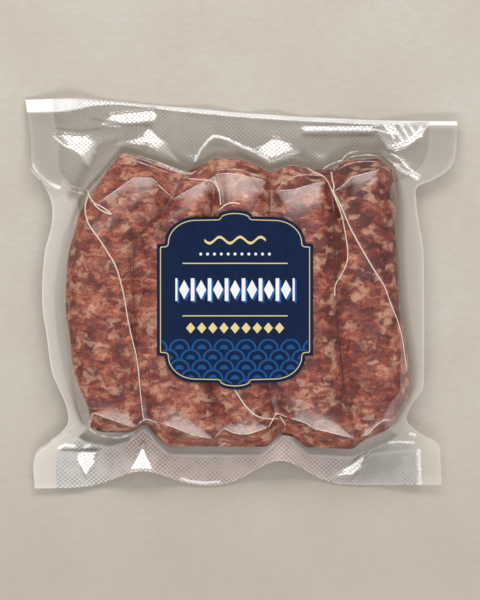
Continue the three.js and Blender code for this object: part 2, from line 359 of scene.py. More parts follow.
def margin_z(x, y):
    """The height of the two layers outside the links. At the sides it falls from the weld as an
    exponential. At the ends it falls straight from the meat's outline to the margin's fold, and from there
    lies nearly level, plus the arches. Along the top edge it rolls down."""
    endward = ramp(np.abs(y), CORE_END_Y, CORE_END_Y + END_BLEND)
    sides = SIDE_EDGE_Z + (WELD_Z - SIDE_EDGE_Z) * np.exp(-outside(x, y) / SIDE_FALL)
    side = np.where(y > 0, 1, -1)
    edge = np.where(y > 0, edge_y(x, 1), edge_y(x, -1))
    outline = np.where(y > 0, across_ends(MEAT_ENDS, 1, x), across_ends(MEAT_ENDS, -1, x))
    fold = np.where(y > 0, across_ends(MARGIN_FOLDS, 1, x), across_ends(MARGIN_FOLDS, -1, x))
    to_edge = np.maximum(0, side * (edge - y))
    arches = sum(arch["rise"] * bell(x, arch) * (arch["side"] * y > 0) for arch in ARCHES)
    level = through(EDGE_LEVEL["x"], EDGE_LEVEL["z"], x) + arches
    shallow = soft_min(level + END_SHALLOW * to_edge, WELD_Z, LEVEL_CREASE)
    width = np.maximum(side * (fold - outline), LEAST_WIDTH)
    share = np.clip(side * (y - outline) / width, 0, 1)
    ends = WELD_Z + (shallow - WELD_Z) * share
    z = sides + (ends - sides) * endward
    roll = ROLL_SLOPE * np.maximum(0, through(ROLL_WIDTH["x"], ROLL_WIDTH["mm"], x) - to_edge)
    return np.where(y > 0, z - roll, z)


print("the bottom margin's height under the middle link:", margin_z(np.zeros(1), np.full(1, -85.0)).round(2))

# %% [markdown]
# ## Facets and ridges
# Stiff film doesn't drape in soft waves. It breaks into flat facets with sharp edges and thin ridges, and
# each facet that leans towards a lamp turns white. A facet is a polygon with the slope of its plane along Y,
# laid over the margin's height. A ridge is a polyline with a height and a width. Three of the ridges are
# folds at the corners that later carry a crease too.

# %% The facets and ridges of the margins
CORNER_FOLDS = [
    [(-106, 62.5), (-101.5, 57.5), (-96.5, 53.5), (-92, 51.5)],
    [(-103.5, -80), (-96, -74.5), (-86.5, -68.5)],
    [(78, 64), (82, 60), (88.5, 57.5)],
]
FACETS = [
    {"corners": [(-92.5, 79.5), (-89, 80.5), (-75.2, 78.2), (-72.4, 75.8), (-76.7, 64.3)], "slope": -0.42},
    {"corners": [(-70.4, 84.4), (-65.7, 90.1), (-44.1, 92.5), (-43.2, 90.1), (-44.1, 86.8), (-53.2, 85.4)],
     "slope": -0.42},
    {"corners": [(-50, 77.5), (-47.8, 84), (-45.5, 83.6), (-33, 67.5), (-45, 74.2)], "slope": -0.42},
    {"corners": [(-61, 75.2), (-50, 79), (-49.3, 75)], "slope": -0.42},
    {"corners": [(8, 71.5), (15.5, 78), (20.5, 77.3), (25, 74), (29, 70.2), (15.3, 65.6)], "slope": -0.42},
    {"corners": [(67.5, 82.4), (91.9, 85.1), (90.8, 79.7), (83.8, 74.3), (74.5, 72.1)], "slope": -0.24},
    {"corners": [(-84.1, -80), (-71.7, -79.5), (-74.5, -85.2), (-79.3, -95.2), (-81.2, -86.5)],
     "slope": 0.42},
    {"corners": [(-49.2, -76), (-44.9, -88.5), (-54.9, -88.5)], "slope": 0.42},
    {"corners": [(62.8, -80.5), (62.2, -84.8), (58.6, -89.5), (55, -94), (47, -94), (53.3, -88)],
     "slope": 0.42},
]
FACET_BLEND = 1.2
RIDGES = [
    {"route": [(-22.9, 65.5), (-20.5, 71.7), (-16.6, 76.5), (-13.8, 78.9), (-11.4, 78.7), (-6.6, 77.2),
               (0.6, 73.7), (7.8, 70.7), (15.2, 65.7), (22.1, 69.1), (26, 70.3), (30.2, 70)],
     "height": 0.3, "width": 0.9},
    {"route": [(31.7, 82.2), (67.5, 82.2), (75.5, 79.7)], "height": 0.6, "width": 1.3},
    {"route": [(93, 84), (90.8, 79.7), (83.8, 74.8), (76.7, 72.1), (72.5, 72.5)],
     "height": 0.6, "width": 1.1},
    {"route": CORNER_FOLDS[0], "height": 1.2, "width": 2.2},
    {"route": CORNER_FOLDS[1], "height": 0.8, "width": 1.6},
    {"route": CORNER_FOLDS[2], "height": 0.8, "width": 1.5},
    {"route": [(-95, -78), (-92, -77.5), (-86, -73.5), (-79.5, -70.3)], "height": 0.6, "width": 1.2},
    {"route": [(89.3, -79), (90, -97.5)], "height": 0.5, "width": 1.0},
    {"route": [(62, -81), (74, -79.5), (88, -78)], "height": 0.4, "width": 1.2},
]


def on_facet(facet, x, y):
    """1 inside a facet's polygon, 0 one blend outside it, and an S curve between."""
    corners = np.array(facet["corners"], float)
    if np.cross(corners[1] - corners[0], corners[2] - corners[1]) > 0:
        corners = corners[::-1]
    inside = np.full(np.shape(x), np.inf)
    for a, b in zip(corners, np.roll(corners, -1, axis=0)):
        normal = np.array([b[1] - a[1], a[0] - b[0]]) / np.linalg.norm(b - a)
        inside = np.minimum(inside, (x - a[0]) * normal[0] + (y - a[1]) * normal[1])
    return ramp(inside, -FACET_BLEND, 0)


def with_facets(x, y, z):
    """Lays each facet's plane over the height z. The plane goes through the margin's height at the polygon's
    middle."""
    for facet in FACETS:
        middle = np.mean(facet["corners"], axis=0)
        level = margin_z(middle[:1], middle[1:])
        plane = level + facet["slope"] * (y - middle[1])
        z = z + (plane - z) * on_facet(facet, x, y)
    return z


def film_sheet_z(x, y):
    """The margin's finished height: planes, arches, facets and ridges."""
    z = with_facets(x, y, margin_z(x, y))
    for ridge in RIDGES:
        away, _ = distance_to(ridge["route"], x, y)
        z = z + ridge["height"] * np.exp(-((away / ridge["width"]) ** 2))
    return np.maximum(z, LAYERS)


print(len(FACETS), "facets and", len(RIDGES), "ridges")

# %% [markdown]
# ## The twine's routes
# Thin cotton twine ties the links' ends and runs over them under the film, and at the ties the casing leaves
# loose ends. Each is a short list of plan points, as its height comes from the film later.

# %% The twine's plan
TWINE_RADIUS = 0.39
TWINE = {
    "twine_left": [(-76.4, 48.7), (-77.6, 44.5), (-77.5, 40.5), (-75.9, 34.8), (-73.2, 30.6), (-69, 24.9),
                   (-65.5, 19.3), (-62.6, 14.4), (-60.5, 8.5), (-58.3, -0.4), (-56.7, -10), (-55.1, -18.5),
                   (-51.5, -34.5), (-50, -48), (-49, -59), (-48.2, -63)],
    "twine_left_tie": [(-77, 51.5), (-75.8, 48.4), (-74.4, 46.2), (-73, 44.6), (-70.2, 43.3), (-67.4, 41.6),
                       (-64.2, 39), (-67, 39.8), (-70.5, 41.8), (-73.2, 44.2)],
    "twine_middle": [(-3.3, -47.5), (-0.2, -52.5), (3, -56.8), (7.5, -60.7), (12.5, -62.3), (18.5, -62.5)],
    "twine_right_in": [(33, 62.5), (36.5, 60.3), (41.5, 57.6), (45.3, 50.8), (47.5, 45.5), (50, 38.5),
                       (52, 28), (53, 19), (52, 13.5), (49.2, 8), (46.7, 3.5), (46.5, -1.5)],
    "twine_right_out": [(45.2, 60.5), (45.7, 56), (46.4, 53), (46, 50.4), (48, 46.2), (51.5, 38.5),
                        (54.5, 31.5), (60.5, 20.5), (65.5, 12), (71, 3.2), (74, -5), (77.5, -13.5),
                        (79.7, -21), (81.2, -30.5), (82.3, -39)],
    "twine_top_middle": [(-26.2, 57), (-18.5, 56), (-14.4, 55.7), (-12.3, 53.6), (-10.7, 50), (-10, 43.5)],
    "twine_top_middle_2": [(-13.5, 57.5), (-12, 54), (-11, 50.5)],
    "twine_top_leaf": [(-0.8, 44), (-4.5, 44.6), (-8, 43.4), (-11, 41)],
    "twine_low_tie": [(17.5, -59.5), (15.8, -62.8), (13.7, -66.4)],
    "twine_low_tie_2": [(19.3, -61.3), (21, -63.6), (22.2, -66)],
}
CASING_TAILS = {
    "tail_top_right": {"route": [(41, 62), (46, 64.7), (50.8, 66.4), (51.8, 68), (54.5, 70), (59.3, 71.3)],
                       "half": 0.75},
    "tail_top_arc": {"route": [(52.6, 66.9), (56.7, 68.4), (63.3, 69.1), (69.6, 68.4)], "half": 0.5},
    "tail_right": {"route": [(73, 67.7), (76.7, 65), (82, 63.7), (85, 61), (87, 59)], "half": 0.45},
    "tail_right_2": {"route": [(78.5, 67.3), (83, 63.5), (88.5, 58.3)], "half": 0.3},
    "tail_left": {"route": [(-91.7, 57.7), (-89, 54.5), (-85.5, 51.5), (-80.5, 50), (-76.5, 49.3)],
                  "half": 0.5},
    "tail_left_2": {"route": [(-90.5, 57.5), (-84.5, 53.5), (-77, 51.5)], "half": 0.3},
    "tail_low_left": {"route": [(-73.5, -59.5), (-75.5, -65), (-75.5, -67.9), (-72.6, -70.3), (-65.5, -72.2),
                                (-60, -72.2), (-53.5, -69.8)], "half": 0.55},
    "tail_top_left": {"route": [(-43, 65.3), (-37.5, 63.2), (-30.5, 60.5), (-25.2, 59.5), (-22.2, 61.2)],
                      "half": 0.6},
}
print(len(TWINE), "runs of twine and", len(CASING_TAILS), "loose ends of casing")

# %% [markdown]
# ## The pouch's grid
# The pouch is drawn on one grid whose columns follow the links, so that creases run along columns instead of
# across them. A column sits between two of eight lines: the pouch's edges, the outer links' sides and the
# four valleys. Rows are level in the middle and bend to the top and bottom edges.

# %% The grid


def column_lines(y):
    """The x of the grid's eight lines at each y. A valley divides the way between two centre lines as the
    two half widths do."""
    centres = np.array([centre_of(link, y) for link in LINKS])
    halves = np.array([half_of(link, y) for link in LINKS])
    valleys = (centres[:-1] * halves[1:] + centres[1:] * halves[:-1]) / (halves[:-1] + halves[1:])
    first = centres[0] - halves[0]
    last = centres[-1] + halves[-1]
    left = through(LEFT_EDGE["y"], LEFT_EDGE["x"], y)
    right = through(RIGHT_EDGE["y"], RIGHT_EDGE["x"], y)
    return np.vstack([[left], [first], valleys, [last], [right]])


def grid_points(margin_spans, link_spans, row_spans):
    """Plan points of the pouch's grid, as two arrays of rows by columns."""
    places = [np.arange(margin_spans) / margin_spans]
    places += [k + 1 + np.arange(link_spans) / link_spans for k in range(len(LINKS))]
    places += [len(LINKS) + 1 + np.arange(margin_spans + 1) / margin_spans]
    place = np.concatenate(places)
    middle_rows = np.linspace(-ROW_MIDDLE, ROW_MIDDLE, row_spans // 4 + 1)
    end_rows = (row_spans - row_spans // 4) // 2
    row = np.concatenate([
        np.linspace(ROW_START, -ROW_MIDDLE, end_rows, endpoint=False), middle_rows,
        np.linspace(ROW_STOP, ROW_MIDDLE, end_rows, endpoint=False)[::-1],
    ])
    lines = column_lines(row)
    band = np.minimum(place.astype(int), len(LINKS) + 1)
    t = place - band
    x = lines[band].T * (1 - t) + lines[band + 1].T * t
    down = np.clip((CORE_END_Y + row) / (CORE_END_Y + ROW_START), 0, 1)[:, None]
    up = np.clip((row - CORE_END_Y) / (ROW_STOP - CORE_END_Y), 0, 1)[:, None]
    y = row[:, None] + down * (edge_y(x, -1) - ROW_START) + up * (edge_y(x, 1) - ROW_STOP)
    return x, y


print("the eight lines across the middle:", column_lines(np.zeros(1)).ravel().round(1))

# %% [markdown]
# ## The film's two sides
# The front film is the upper of the links' tents and the margin, and the back film the lower of the two, cut
# flat where it lies on the table. Twine under the film lifts it in a small ridge.

# %% Front and back
TWINE_LIFT = 0.75
TWINE_TENT = 1.3
TWINE_SPACING = 2.0
FRONT_CREASE, BACK_CREASE = 0.5, 0.7


def front_z(x, y):
    """The front film's height: the larger of the links' tent and the margin's upper layer, and a bell-shaped
    ridge over each run of twine."""
    z = soft_max(over_links(x, y, CROWN), film_sheet_z(x, y) + LAYERS / 2, FRONT_CREASE)
    for route in TWINE.values():
        away, _ = distance_to(along(route, TWINE_SPACING), x, y)
        z = z + TWINE_LIFT * np.exp(-((away / TWINE_TENT) ** 2))
    return z


def back_z(x, y):
    """The back film's height: the smaller of the links' belly and the margin's lower layer, and never below
    the table."""
    return np.maximum(0, soft_min(over_links(x, y, -BELLY), film_sheet_z(x, y) - LAYERS / 2, BACK_CREASE))


print("front film over the left link's centre line:", front_z(np.full(1, -70.0), np.zeros(1)).round(2))

# %% [markdown]
# ## Meshes from arrays
# Blender takes a mesh as one list of points and one of faces, which is much faster than adding vertices one
# by one. The helper below scales from millimetres to metres and moves the drawing onto the frame.

# %% Mesh helpers


def add_piece(name, points, faces):
    """Makes a smooth mesh object from points in mm and faces of three or four corners, for the frame."""
    mesh = bpy.data.meshes.new(name)
    mesh.from_pydata(((np.asarray(points) + shift) * MM).tolist(), [], faces)
    mesh.validate()
    mesh.shade_smooth()
    piece = bpy.data.objects.new(name, mesh)
    bpy.context.scene.collection.objects.link(piece)
    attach(piece, "root")
    return piece


def grid_faces(rows, columns, start=0, flip=False):
    """Quads of a grid of rows by columns of points, as an array."""
    j, i = np.meshgrid(np.arange(rows - 1), np.arange(columns - 1), indexing="ij")
    a = (start + j * columns + i).ravel()
    corners = [a, a + 1, a + columns + 1, a + columns]
    return np.stack(corners[::-1] if flip else corners, axis=1)


def rim_of(rows, columns, start=0):
    """The grid's boundary points, anticlockwise seen from above."""
    bottom = np.arange(columns - 1)
    right = columns - 1 + columns * np.arange(rows - 1)
    top = (rows - 1) * columns + np.arange(columns - 1, 0, -1)
    left = columns * np.arange(rows - 1, 0, -1)
    return start + np.concatenate([bottom, right, top, left])


def set_attribute(piece, name, values):
    """Keeps one number for each of a piece's points, which its material reads by name."""
    layer = piece.data.attributes.new(name, "FLOAT", "POINT")
    layer.data.foreach_set("value", np.asarray(values, dtype=np.float32).ravel())


print("a grid of 3 by 3 points:", len(grid_faces(3, 3)), "faces,", len(rim_of(3, 3)), "points on its rim")

# %% [markdown]
# ## The film's marks
# The film isn't equally clear all over. Along some folds a thin white highlight is painted. Beside
# a fold it lies in shade or looks dull. Over the links' ends a white sheen is painted, standing in for the
# lamps' reflection, down to a depth below the fold that varies from link to link. A mark is a polyline with
# a half width, and the painted sheen a list of depths.
# The welds are smooth bands along the two sides, and their widths are given at the bottom and at the top.

# %% The film's marks
WELD_LEFT = {"y": [-98, 97], "width": [11, 14.3]}
WELD_RIGHT = {"y": [-97, 87], "width": [12, 14]}
POCKET_REACH = 5.0
ROLLED_SHARE = [-109, -85, -79, -72, -62, -28, 109], [1.0, 1.0, 0.6, 0.25, 0.3, 0.8, 0.8]
# Thin white highlights painted along folds and edges.
GLINT_MARKS = [
    {"route": [(89.3, -79), (90, -97.5)], "half": 1.1},
    {"route": [(85, -70.8), (87.3, -71.3)], "half": 0.9},
    {"route": [(74.5, -75.4), (80, -74.8), (87, -75.2)], "half": 0.6},
    {"route": [(77.5, 64.5), (80.5, 61.8), (84.5, 60.3), (88.5, 57.5)], "half": 1.2},
    {"route": [(-91.5, -77.8), (-88.5, -76.3), (-84, -77)], "half": 1.0},
    {"route": [(-78.5, -77.5), (-76, -76.5)], "half": 0.9},
    {"route": [(-30, -93.4), (-25, -95), (-18, -95.6), (-11, -95.1)], "half": 0.6},
    {"route": [(-23, 66.5), (-20.5, 71.7), (-16.6, 76.5), (-13.8, 78.9), (-11.4, 78.7), (-6.6, 77.2),
               (0.6, 73.7), (7.8, 70.7), (13, 67.5)], "half": 0.7},
    {"route": [(32, 82.2), (67.5, 82.2)], "half": 0.8},
    {"route": [(92, 83), (90.8, 79.7), (83.8, 74.8), (76.7, 72.1)], "half": 0.8},
    {"route": [(72.5, 84.5), (77, 78)], "half": 0.8},
    {"route": [(76.5, 84.5), (81, 77)], "half": 0.8},
    {"route": [(80.5, 85), (85, 77)], "half": 0.8},
    {"route": [(84.5, 85), (88.5, 79)], "half": 0.8},
]
DARK_FOLDS = [
    {"route": [(-90, -78.9), (-73, -79)], "half": 0.6},
    {"route": [(-76, 88), (-58, 84.5), (-45, 85)], "half": 1.0},
    {"route": [(-92, 82.5), (-80, 81.5), (-70, 83)], "half": 1.3},
    {"route": [(31.5, 79.5), (66, 79.5)], "half": 1.4},
]
DULL_FOLDS = [
    {"route": [(-84, 50), (-80, 58), (-76.7, 64.3), (-70, 73.5), (-63, 75.5)], "half": 3.5},
    {"route": [(-37, 71), (-31, 67.5), (-23.5, 63.5)], "half": 3.5},
    {"route": [(31.5, 70), (36, 66.5), (41, 63), (48, 70), (56, 73.5), (70, 73)], "half": 3.5},
]
SHEEN_FADE = 0.6
SHEEN_DEPTH = {
    1: [(-70, 0), (-68, 1.5), (-60.5, 4.5), (-54, 5.5), (-47, 4.5), (-43, 3), (-39, 0), (-35, 0),
        (-33, 1.5), (-29, 3.5), (-20.5, 7), (-14, 8), (-12, 11), (-5.5, 13), (2, 11), (10.5, 8), (12.5, 0),
        (17.5, 0), (21, 8), (27, 10), (34, 11.5), (38.5, 9), (39.8, 0), (47, 0), (50, 1.5), (54, 3.5),
        (59, 5), (65, 3.5), (69, 0)],
    -1: [(-74, 0), (-70, 2.2), (-64.5, 5), (-59, 5.5), (-55.5, 4), (-52, 0), (-40, 0), (-37, 2), (-32, 7),
         (-25.5, 7), (-20.5, 5), (-15.5, 1.5), (-13.5, 0), (-9.5, 0), (-5.5, 4.5), (-0.5, 5.5), (4.5, 4.5),
         (10.5, 3), (13.5, 0), (24, 0), (26.5, 1.5), (31, 6), (41, 7.5), (48.5, 5.5), (52, 3), (56.5, 0),
         (59, 0), (62, 2.5), (68, 2), (71, 0)],
}
print(len(GLINT_MARKS), "white marks,", len(DARK_FOLDS), "shaded folds and", len(DULL_FOLDS), "dull ones")

# %% [markdown]
# ## The film's masks
# A few numbers are kept at each point of the film for its material, such as how much it clings to meat, how
# far it is welded smooth, how clear its lattice shows and where a sheen is painted by tight folds.

# %% The film's masks


def side_edges(y):
    """The x of the pouch's left and right edges at y."""
    return through(LEFT_EDGE["y"], LEFT_EDGE["x"], y), through(RIGHT_EDGE["y"], RIGHT_EDGE["x"], y)


def sheen_near(x, y):
    """How much white sheen is painted on the film on the near side of the ends' folds, standing in for the
    lamps' reflection: 1 at a fold, and it fades to 0 over a depth that varies from link to link."""
    painted_sheen = np.zeros(np.shape(x))
    for side, profile in SHEEN_DEPTH.items():
        at, depth = np.array(profile).T
        before = side * (across_ends(END_FOLDS, side, x) - y)
        depth = np.interp(x, at, depth)
        fade = np.clip(1 - before / np.maximum(depth, 0.1), 0, 1) ** SHEEN_FADE
        painted_sheen += ramp(before, -0.5, 0.1) * fade * (depth > 0)
    return painted_sheen


def marked(marks, x, y):
    """1 along each mark's route and less beside it: e to the power of minus the squared share of its half
    width."""
    return np.max([np.exp(-((distance_to(m["route"], x, y)[0] / m["half"]) ** 2)) for m in marks], axis=0)


def film_masks(x, y):
    """The film's states at each plan point, from 0 to 1: clinging to meat, welded smooth, embossed, over
    the juice round the meat with its painted shade, at its cut edge, in the rolled top edge with its painted
    highlight, with painted sheen near a fold, pulled flat in a facet, with a painted white highlight, in the
    shade of a fold, and dull along a fold."""
    away = outside(x, y)
    left_edge, right_edge = side_edges(y)
    from_left = x - left_edge - np.interp(y, WELD_LEFT["y"], WELD_LEFT["width"])
    from_right = right_edge - x - np.interp(y, WELD_RIGHT["y"], WELD_RIGHT["width"])
    welded = ramp(np.minimum(from_left, from_right), 0.5, -0.3)
    beyond = np.maximum(y - across_ends(MARGIN_FOLDS, 1, x), across_ends(MARGIN_FOLDS, -1, x) - y)
    aside = ramp(away, 1.0, 3.0) * ramp(np.abs(y), 62, 56)
    # The juice's brown round the meat is partly painted shade. Light gets in under the welds, the bottom
    # margin and the far left, so it is paler there.
    open_light = (1 - 0.3 * welded) * (1 - 0.75 * ramp(y, -64, -69)) * (1 - 0.6 * ramp(x, -80, -88))
    to_end = np.minimum(edge_y(x, 1) - y, y - edge_y(x, -1))
    rolled_width = through(ROLL_WIDTH["x"], ROLL_WIDTH["mm"], x)
    to_edge = np.minimum(np.minimum(x - left_edge, right_edge - x), to_end)
    return {
        "clings": ramp(away, 1.5, 0),
        "welded": welded,
        "embossed": (1 - welded) * np.maximum(ramp(beyond, -1.5, 1.0), 0.6 * aside),
        "pocket": ramp(away, 0.0, 0.35) * np.exp(-((away / POCKET_REACH) ** 2)) * open_light,
        "edge": ramp(to_edge, 0.9, 0.3),
        "rolled": ramp(edge_y(x, 1) - y - rolled_width, 0.4, -0.4) * np.interp(x, *ROLLED_SHARE),
        "sheen": sheen_near(x, y),
        "facet": np.max([on_facet(facet, x, y) for facet in FACETS], axis=0) * (away > 0.5),
        "whitened": marked(GLINT_MARKS, x, y),
        "shaded": marked(DARK_FOLDS, x, y),
        "dulled": marked(DULL_FOLDS, x, y),
    }


print("masks of the film:", ", ".join(film_masks(np.zeros(1), np.zeros(1))))

# %% [markdown]
# ## The film's mesh
# The film is one closed skin: a fine front, a back at half the resolution, and a rim that joins them. Each
# edge of the back's rim meets two of the front's, in three triangles.

# %% Film
MARGIN_SPANS, LINK_SPANS, ROW_SPANS = 36, 44, 248
front_x, front_y = grid_points(MARGIN_SPANS, LINK_SPANS, ROW_SPANS)
front_height = front_z(front_x, front_y)
back_x, back_y = front_x[::2, ::2], front_y[::2, ::2]
back_height = back_z(back_x, back_y)
gap = front_height[::2, ::2] - back_height
back_height = back_height + np.minimum(0, gap - LAYERS)
front_points = np.stack([front_x, front_y, front_height], axis=-1)
back_points = np.stack([back_x, back_y, back_height], axis=-1)
rows, columns = front_x.shape
half_rows, half_columns = back_x.shape
back_start = rows * columns
front_faces = grid_faces(rows, columns)
back_faces = grid_faces(half_rows, half_columns, back_start, flip=True)
fine = rim_of(rows, columns)
coarse = rim_of(half_rows, half_columns, back_start)
fine_next = np.roll(fine, -1)
rim_faces = []
for k, (low, low_next) in enumerate(zip(coarse, np.roll(coarse, -1))):
    first, middle, last = fine[2 * k], fine_next[2 * k], fine_next[2 * k + 1]
    rim_faces += [(first, low, middle), (middle, low, low_next), (middle, low_next, last)]
film_points = np.concatenate([front_points.reshape(-1, 3), back_points.reshape(-1, 3)])
film_faces = front_faces.tolist() + back_faces.tolist() + [[int(v) for v in face] for face in rim_faces]
film = add_piece("film", film_points, film_faces)
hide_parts("pouch")
for mask, values in film_masks(film_points[:, 0], film_points[:, 1]).items():
    set_attribute(film, mask, values)
print("film:", len(film_points), "points,", len(film_faces), "faces")

# %% [markdown]
# ## The links
# Each link is a closed skin of rings along its centre line. A ring is the link's squared-ellipse section,
# cut flat against its neighbours and the table, and kept just under the film. Coarse mince is lumpy, so the
# skin gets low lumps before it is pressed under the film. A formula is used instead of a sculpt, because the
# meat has to stay inside the film.

# %% The links' rings
MEAT_GAP = 0.25
RING_STEP = 0.9
FULL_LENGTH = 140.0
FIRST_START, FIRST_LENGTH = -70.0, 136.0
CLOSER_ENDS = 0.4
AROUND = 120
FULL_POWER = 4.0
CONTACT_GAP = 0.03
CONTACT_WAVE = 0.55
NIP_WIDTH = 1.4
END_POWER = 3
LUMPS = [(0.22, 4.2, 11), (0.12, 1.9, 31)]
WAVE_SIZE, WAVE_SEED = 3.7, 5


def link_rings(index):
    """Rings of points round a link, from its bottom end to its top one, and how near each point is to the
    link's sides and to the nips beside its neighbours. A ring is a nearly square ellipse, so that it fills
    the film, which then cuts it. Its height closes over the last stretch of each end as a squared ellipse
    too. The rings lie closer at the ends, and their y is found in three rounds, as the ends' outline depends
    on x."""
    link = LINKS[index]
    count = int(FULL_LENGTH / RING_STEP)
    eased = (1 - np.cos(np.linspace(0.05, math.pi - 0.05, count))) / 2
    share = (eased * CLOSER_ENDS + (1 - CLOSER_ENDS) * np.linspace(0, 1, count))[:, None]
    around = np.linspace(0, 2 * math.pi, AROUND, endpoint=False)[None, :]
    side, up = np.cos(around), np.sin(around)
    u = np.sign(side) * np.abs(side) ** (2 / FULL_POWER)
    v = np.sign(up) * np.abs(up) ** (2 / FULL_POWER)
    y = FIRST_START + FIRST_LENGTH * share
    for _ in range(3):
        x = centre_of(link, y) + half_of(link, y) * u
        low, high = across_ends(MEAT_ENDS, -1, x), across_ends(MEAT_ENDS, 1, x)
        y = low + share * (high - low)
    to_end = np.minimum(high - y, y - low)
    close = np.maximum(0.02, round_over(1 - np.clip(to_end / END_LENGTH, 0, 1), END_POWER))
    z = MIDDLE_Z + np.where(v > 0, CROWN, BELLY) * close * v
    rough = np.stack([x, y, z], axis=-1)
    bump = sum(height * lumps(rough, size, seed + index) for height, size, seed in LUMPS)
    x = x + bump * u
    z = z + bump * v
    lines = column_lines(y.ravel()).reshape(-1, *y.shape)
    wave = CONTACT_WAVE * lumps(np.stack([0 * y, y, 0 * y], axis=-1), WAVE_SIZE, WAVE_SEED)
    if index > 0:
        x = np.maximum(x, lines[index + 1] + wave + CONTACT_GAP)
    if index < len(LINKS) - 1:
        x = np.minimum(x, lines[index + 2] + wave - CONTACT_GAP)
    z = np.minimum(z, front_z(x, y) - MEAT_GAP + np.minimum(0, bump))
    z = np.maximum(z, back_z(x, y) + MEAT_GAP)
    nip = np.zeros_like(z)
    if index > 0:
        nip = np.maximum(nip, np.exp(-(((x - lines[index + 1] - wave) / NIP_WIDTH) ** 2)))
    if index < len(LINKS) - 1:
        nip = np.maximum(nip, np.exp(-(((x - lines[index + 2] - wave) / NIP_WIDTH) ** 2)))
    return np.stack([x, y, z], axis=-1), np.clip(1 - np.abs(v), 0, 1) ** 3 * (1 + 0 * z), nip


print("a link is", int(FULL_LENGTH / RING_STEP), "rings of", AROUND, "points")

# %% [markdown]
# ## Closing a skin
# A shape made of rings needs faces between them and something to close its ends. An n-gon could do it, but a
# fan of triangles round one more point shades better. The same helper serves every tube that follows.

# %% Links


def closed_rings(rings):
    """Points and faces of rings joined to a closed skin, with a pole at each end."""
    count, around = rings.shape[:2]
    points = np.concatenate([rings.reshape(-1, 3), rings[:1].mean(axis=1), rings[-1:].mean(axis=1)])
    j, i = np.meshgrid(np.arange(count - 1), np.arange(around), indexing="ij")
    after = (i + 1) % around
    low, high = j * around, (j + 1) * around
    quads = np.stack([low + i, high + i, high + after, low + after], axis=-1)
    ring = np.arange(around)
    after = (ring + 1) % around
    first_pole, last_pole = count * around, count * around + 1
    last = (count - 1) * around
    start_cap = np.stack([ring, after, np.full(around, first_pole)], axis=1)
    stop_cap = np.stack([last + after, last + ring, np.full(around, last_pole)], axis=1)
    return points, quads.reshape(-1, 4).tolist() + start_cap.tolist() + stop_cap.tolist()


# How dark each link's mince is at its top and at its bottom end, and where those ends are.
LINK_SHADE = [(0.1, 0.2), (0.1, 0.1), (0.0, 0.3), (0.9, 0.8), (1.6, 0.3)]
SHADE_ENDS = [-60, 60]

links = []
for number in range(len(LINKS)):
    rings, rim, nip = link_rings(number)
    link_points, link_faces = closed_rings(rings)
    links.append(add_piece(f"link_{number + 1}", link_points, link_faces))
    set_attribute(links[-1], "rim", np.append(rim.ravel(), [1, 1]))
    # Painted shade in the nips between neighbouring links.
    set_attribute(links[-1], "nip", np.append(nip.ravel(), [0, 0]))
    top_shade, low_shade = LINK_SHADE[number]
    set_attribute(links[-1], "shade", np.interp(link_points[:, 1], SHADE_ENDS, [low_shade, top_shade]))
print("links:", len(links), "of", len(links[0].data.polygons), "faces")

# %% [markdown]
# ## Twine
# Butcher's twine is thin and round, and the film presses it a little into the meat. A bevelled curve would
# draw it too, but rings worked out along its route can also keep how far along and how far round each point
# is, which the twine's finish needs.

# %% Twine
TWINE_SIDES = 8
TWINE_STEP, TWINE_DEPTH = 1.0, TWINE_RADIUS + 0.12


def tube(path, radius, sides, flat=1.0):
    """Rings of a tube along a path, each square to it. radius is one number or one for each point, and flat
    is the section's height over its width."""
    path = np.asarray(path, float)
    ahead = np.gradient(path, axis=0)
    ahead /= np.linalg.norm(ahead, axis=1, keepdims=True)
    up = np.array([0.0, 0.0, 1.0])
    side = np.cross(ahead, up)
    side /= np.linalg.norm(side, axis=1, keepdims=True)
    rise = np.cross(side, ahead)
    turn = np.linspace(0, 2 * math.pi, sides, endpoint=False)
    radius = np.broadcast_to(radius, len(path))[:, None, None]
    ring = side[:, None] * np.cos(turn)[None, :, None] + flat * rise[:, None] * np.sin(turn)[None, :, None]
    return path[:, None] + radius * ring


def under_film(route, spacing, depth):
    """A route with its height, so deep under the film."""
    plan = along(route, spacing)
    return np.column_stack([plan, front_z(plan[:, 0], plan[:, 1]) - depth])


twine_pieces = []
for name, route in TWINE.items():
    twine_path = under_film(route, TWINE_STEP, TWINE_DEPTH)
    twine_points, twine_faces = closed_rings(tube(twine_path, TWINE_RADIUS, TWINE_SIDES))
    twine_pieces.append(add_piece(name, twine_points, twine_faces))
    run, around = np.meshgrid(np.arange(len(twine_path)), np.arange(TWINE_SIDES), indexing="ij")
    set_attribute(twine_pieces[-1], "run", np.append(run.ravel(), [0, len(twine_path)]))
    set_attribute(twine_pieces[-1], "around", np.append(around.ravel() * 2 * math.pi / TWINE_SIDES, [0, 0]))
print("twine:", len(twine_pieces), "tubes of", TWINE_SIDES, "sides")

# %% [markdown]
# ## The casing's loose ends
# Where a link is tied, the casing's end is left as a limp, clear ribbon. It could be a sheet folded over,
# but it is pressed flat between the two films, so a flattened tube that tapers at both ends looks the same.

# %% Casing tails
TAIL_FLAT = 0.2
TAIL_STEP = 0.7


def tapered(count, radius, seed):
    """Radii along a run: full in the middle, rounded over to thin ends, and with uneven swellings."""
    at = np.linspace(0, 1, count)
    uneven = 1 + 0.35 * lumps(np.stack([at * count / 4, 0 * at, 0 * at], axis=-1), 1.0, seed)
    return radius * uneven * np.maximum(0.12, round_over(np.abs(2 * at - 1), END_POWER))


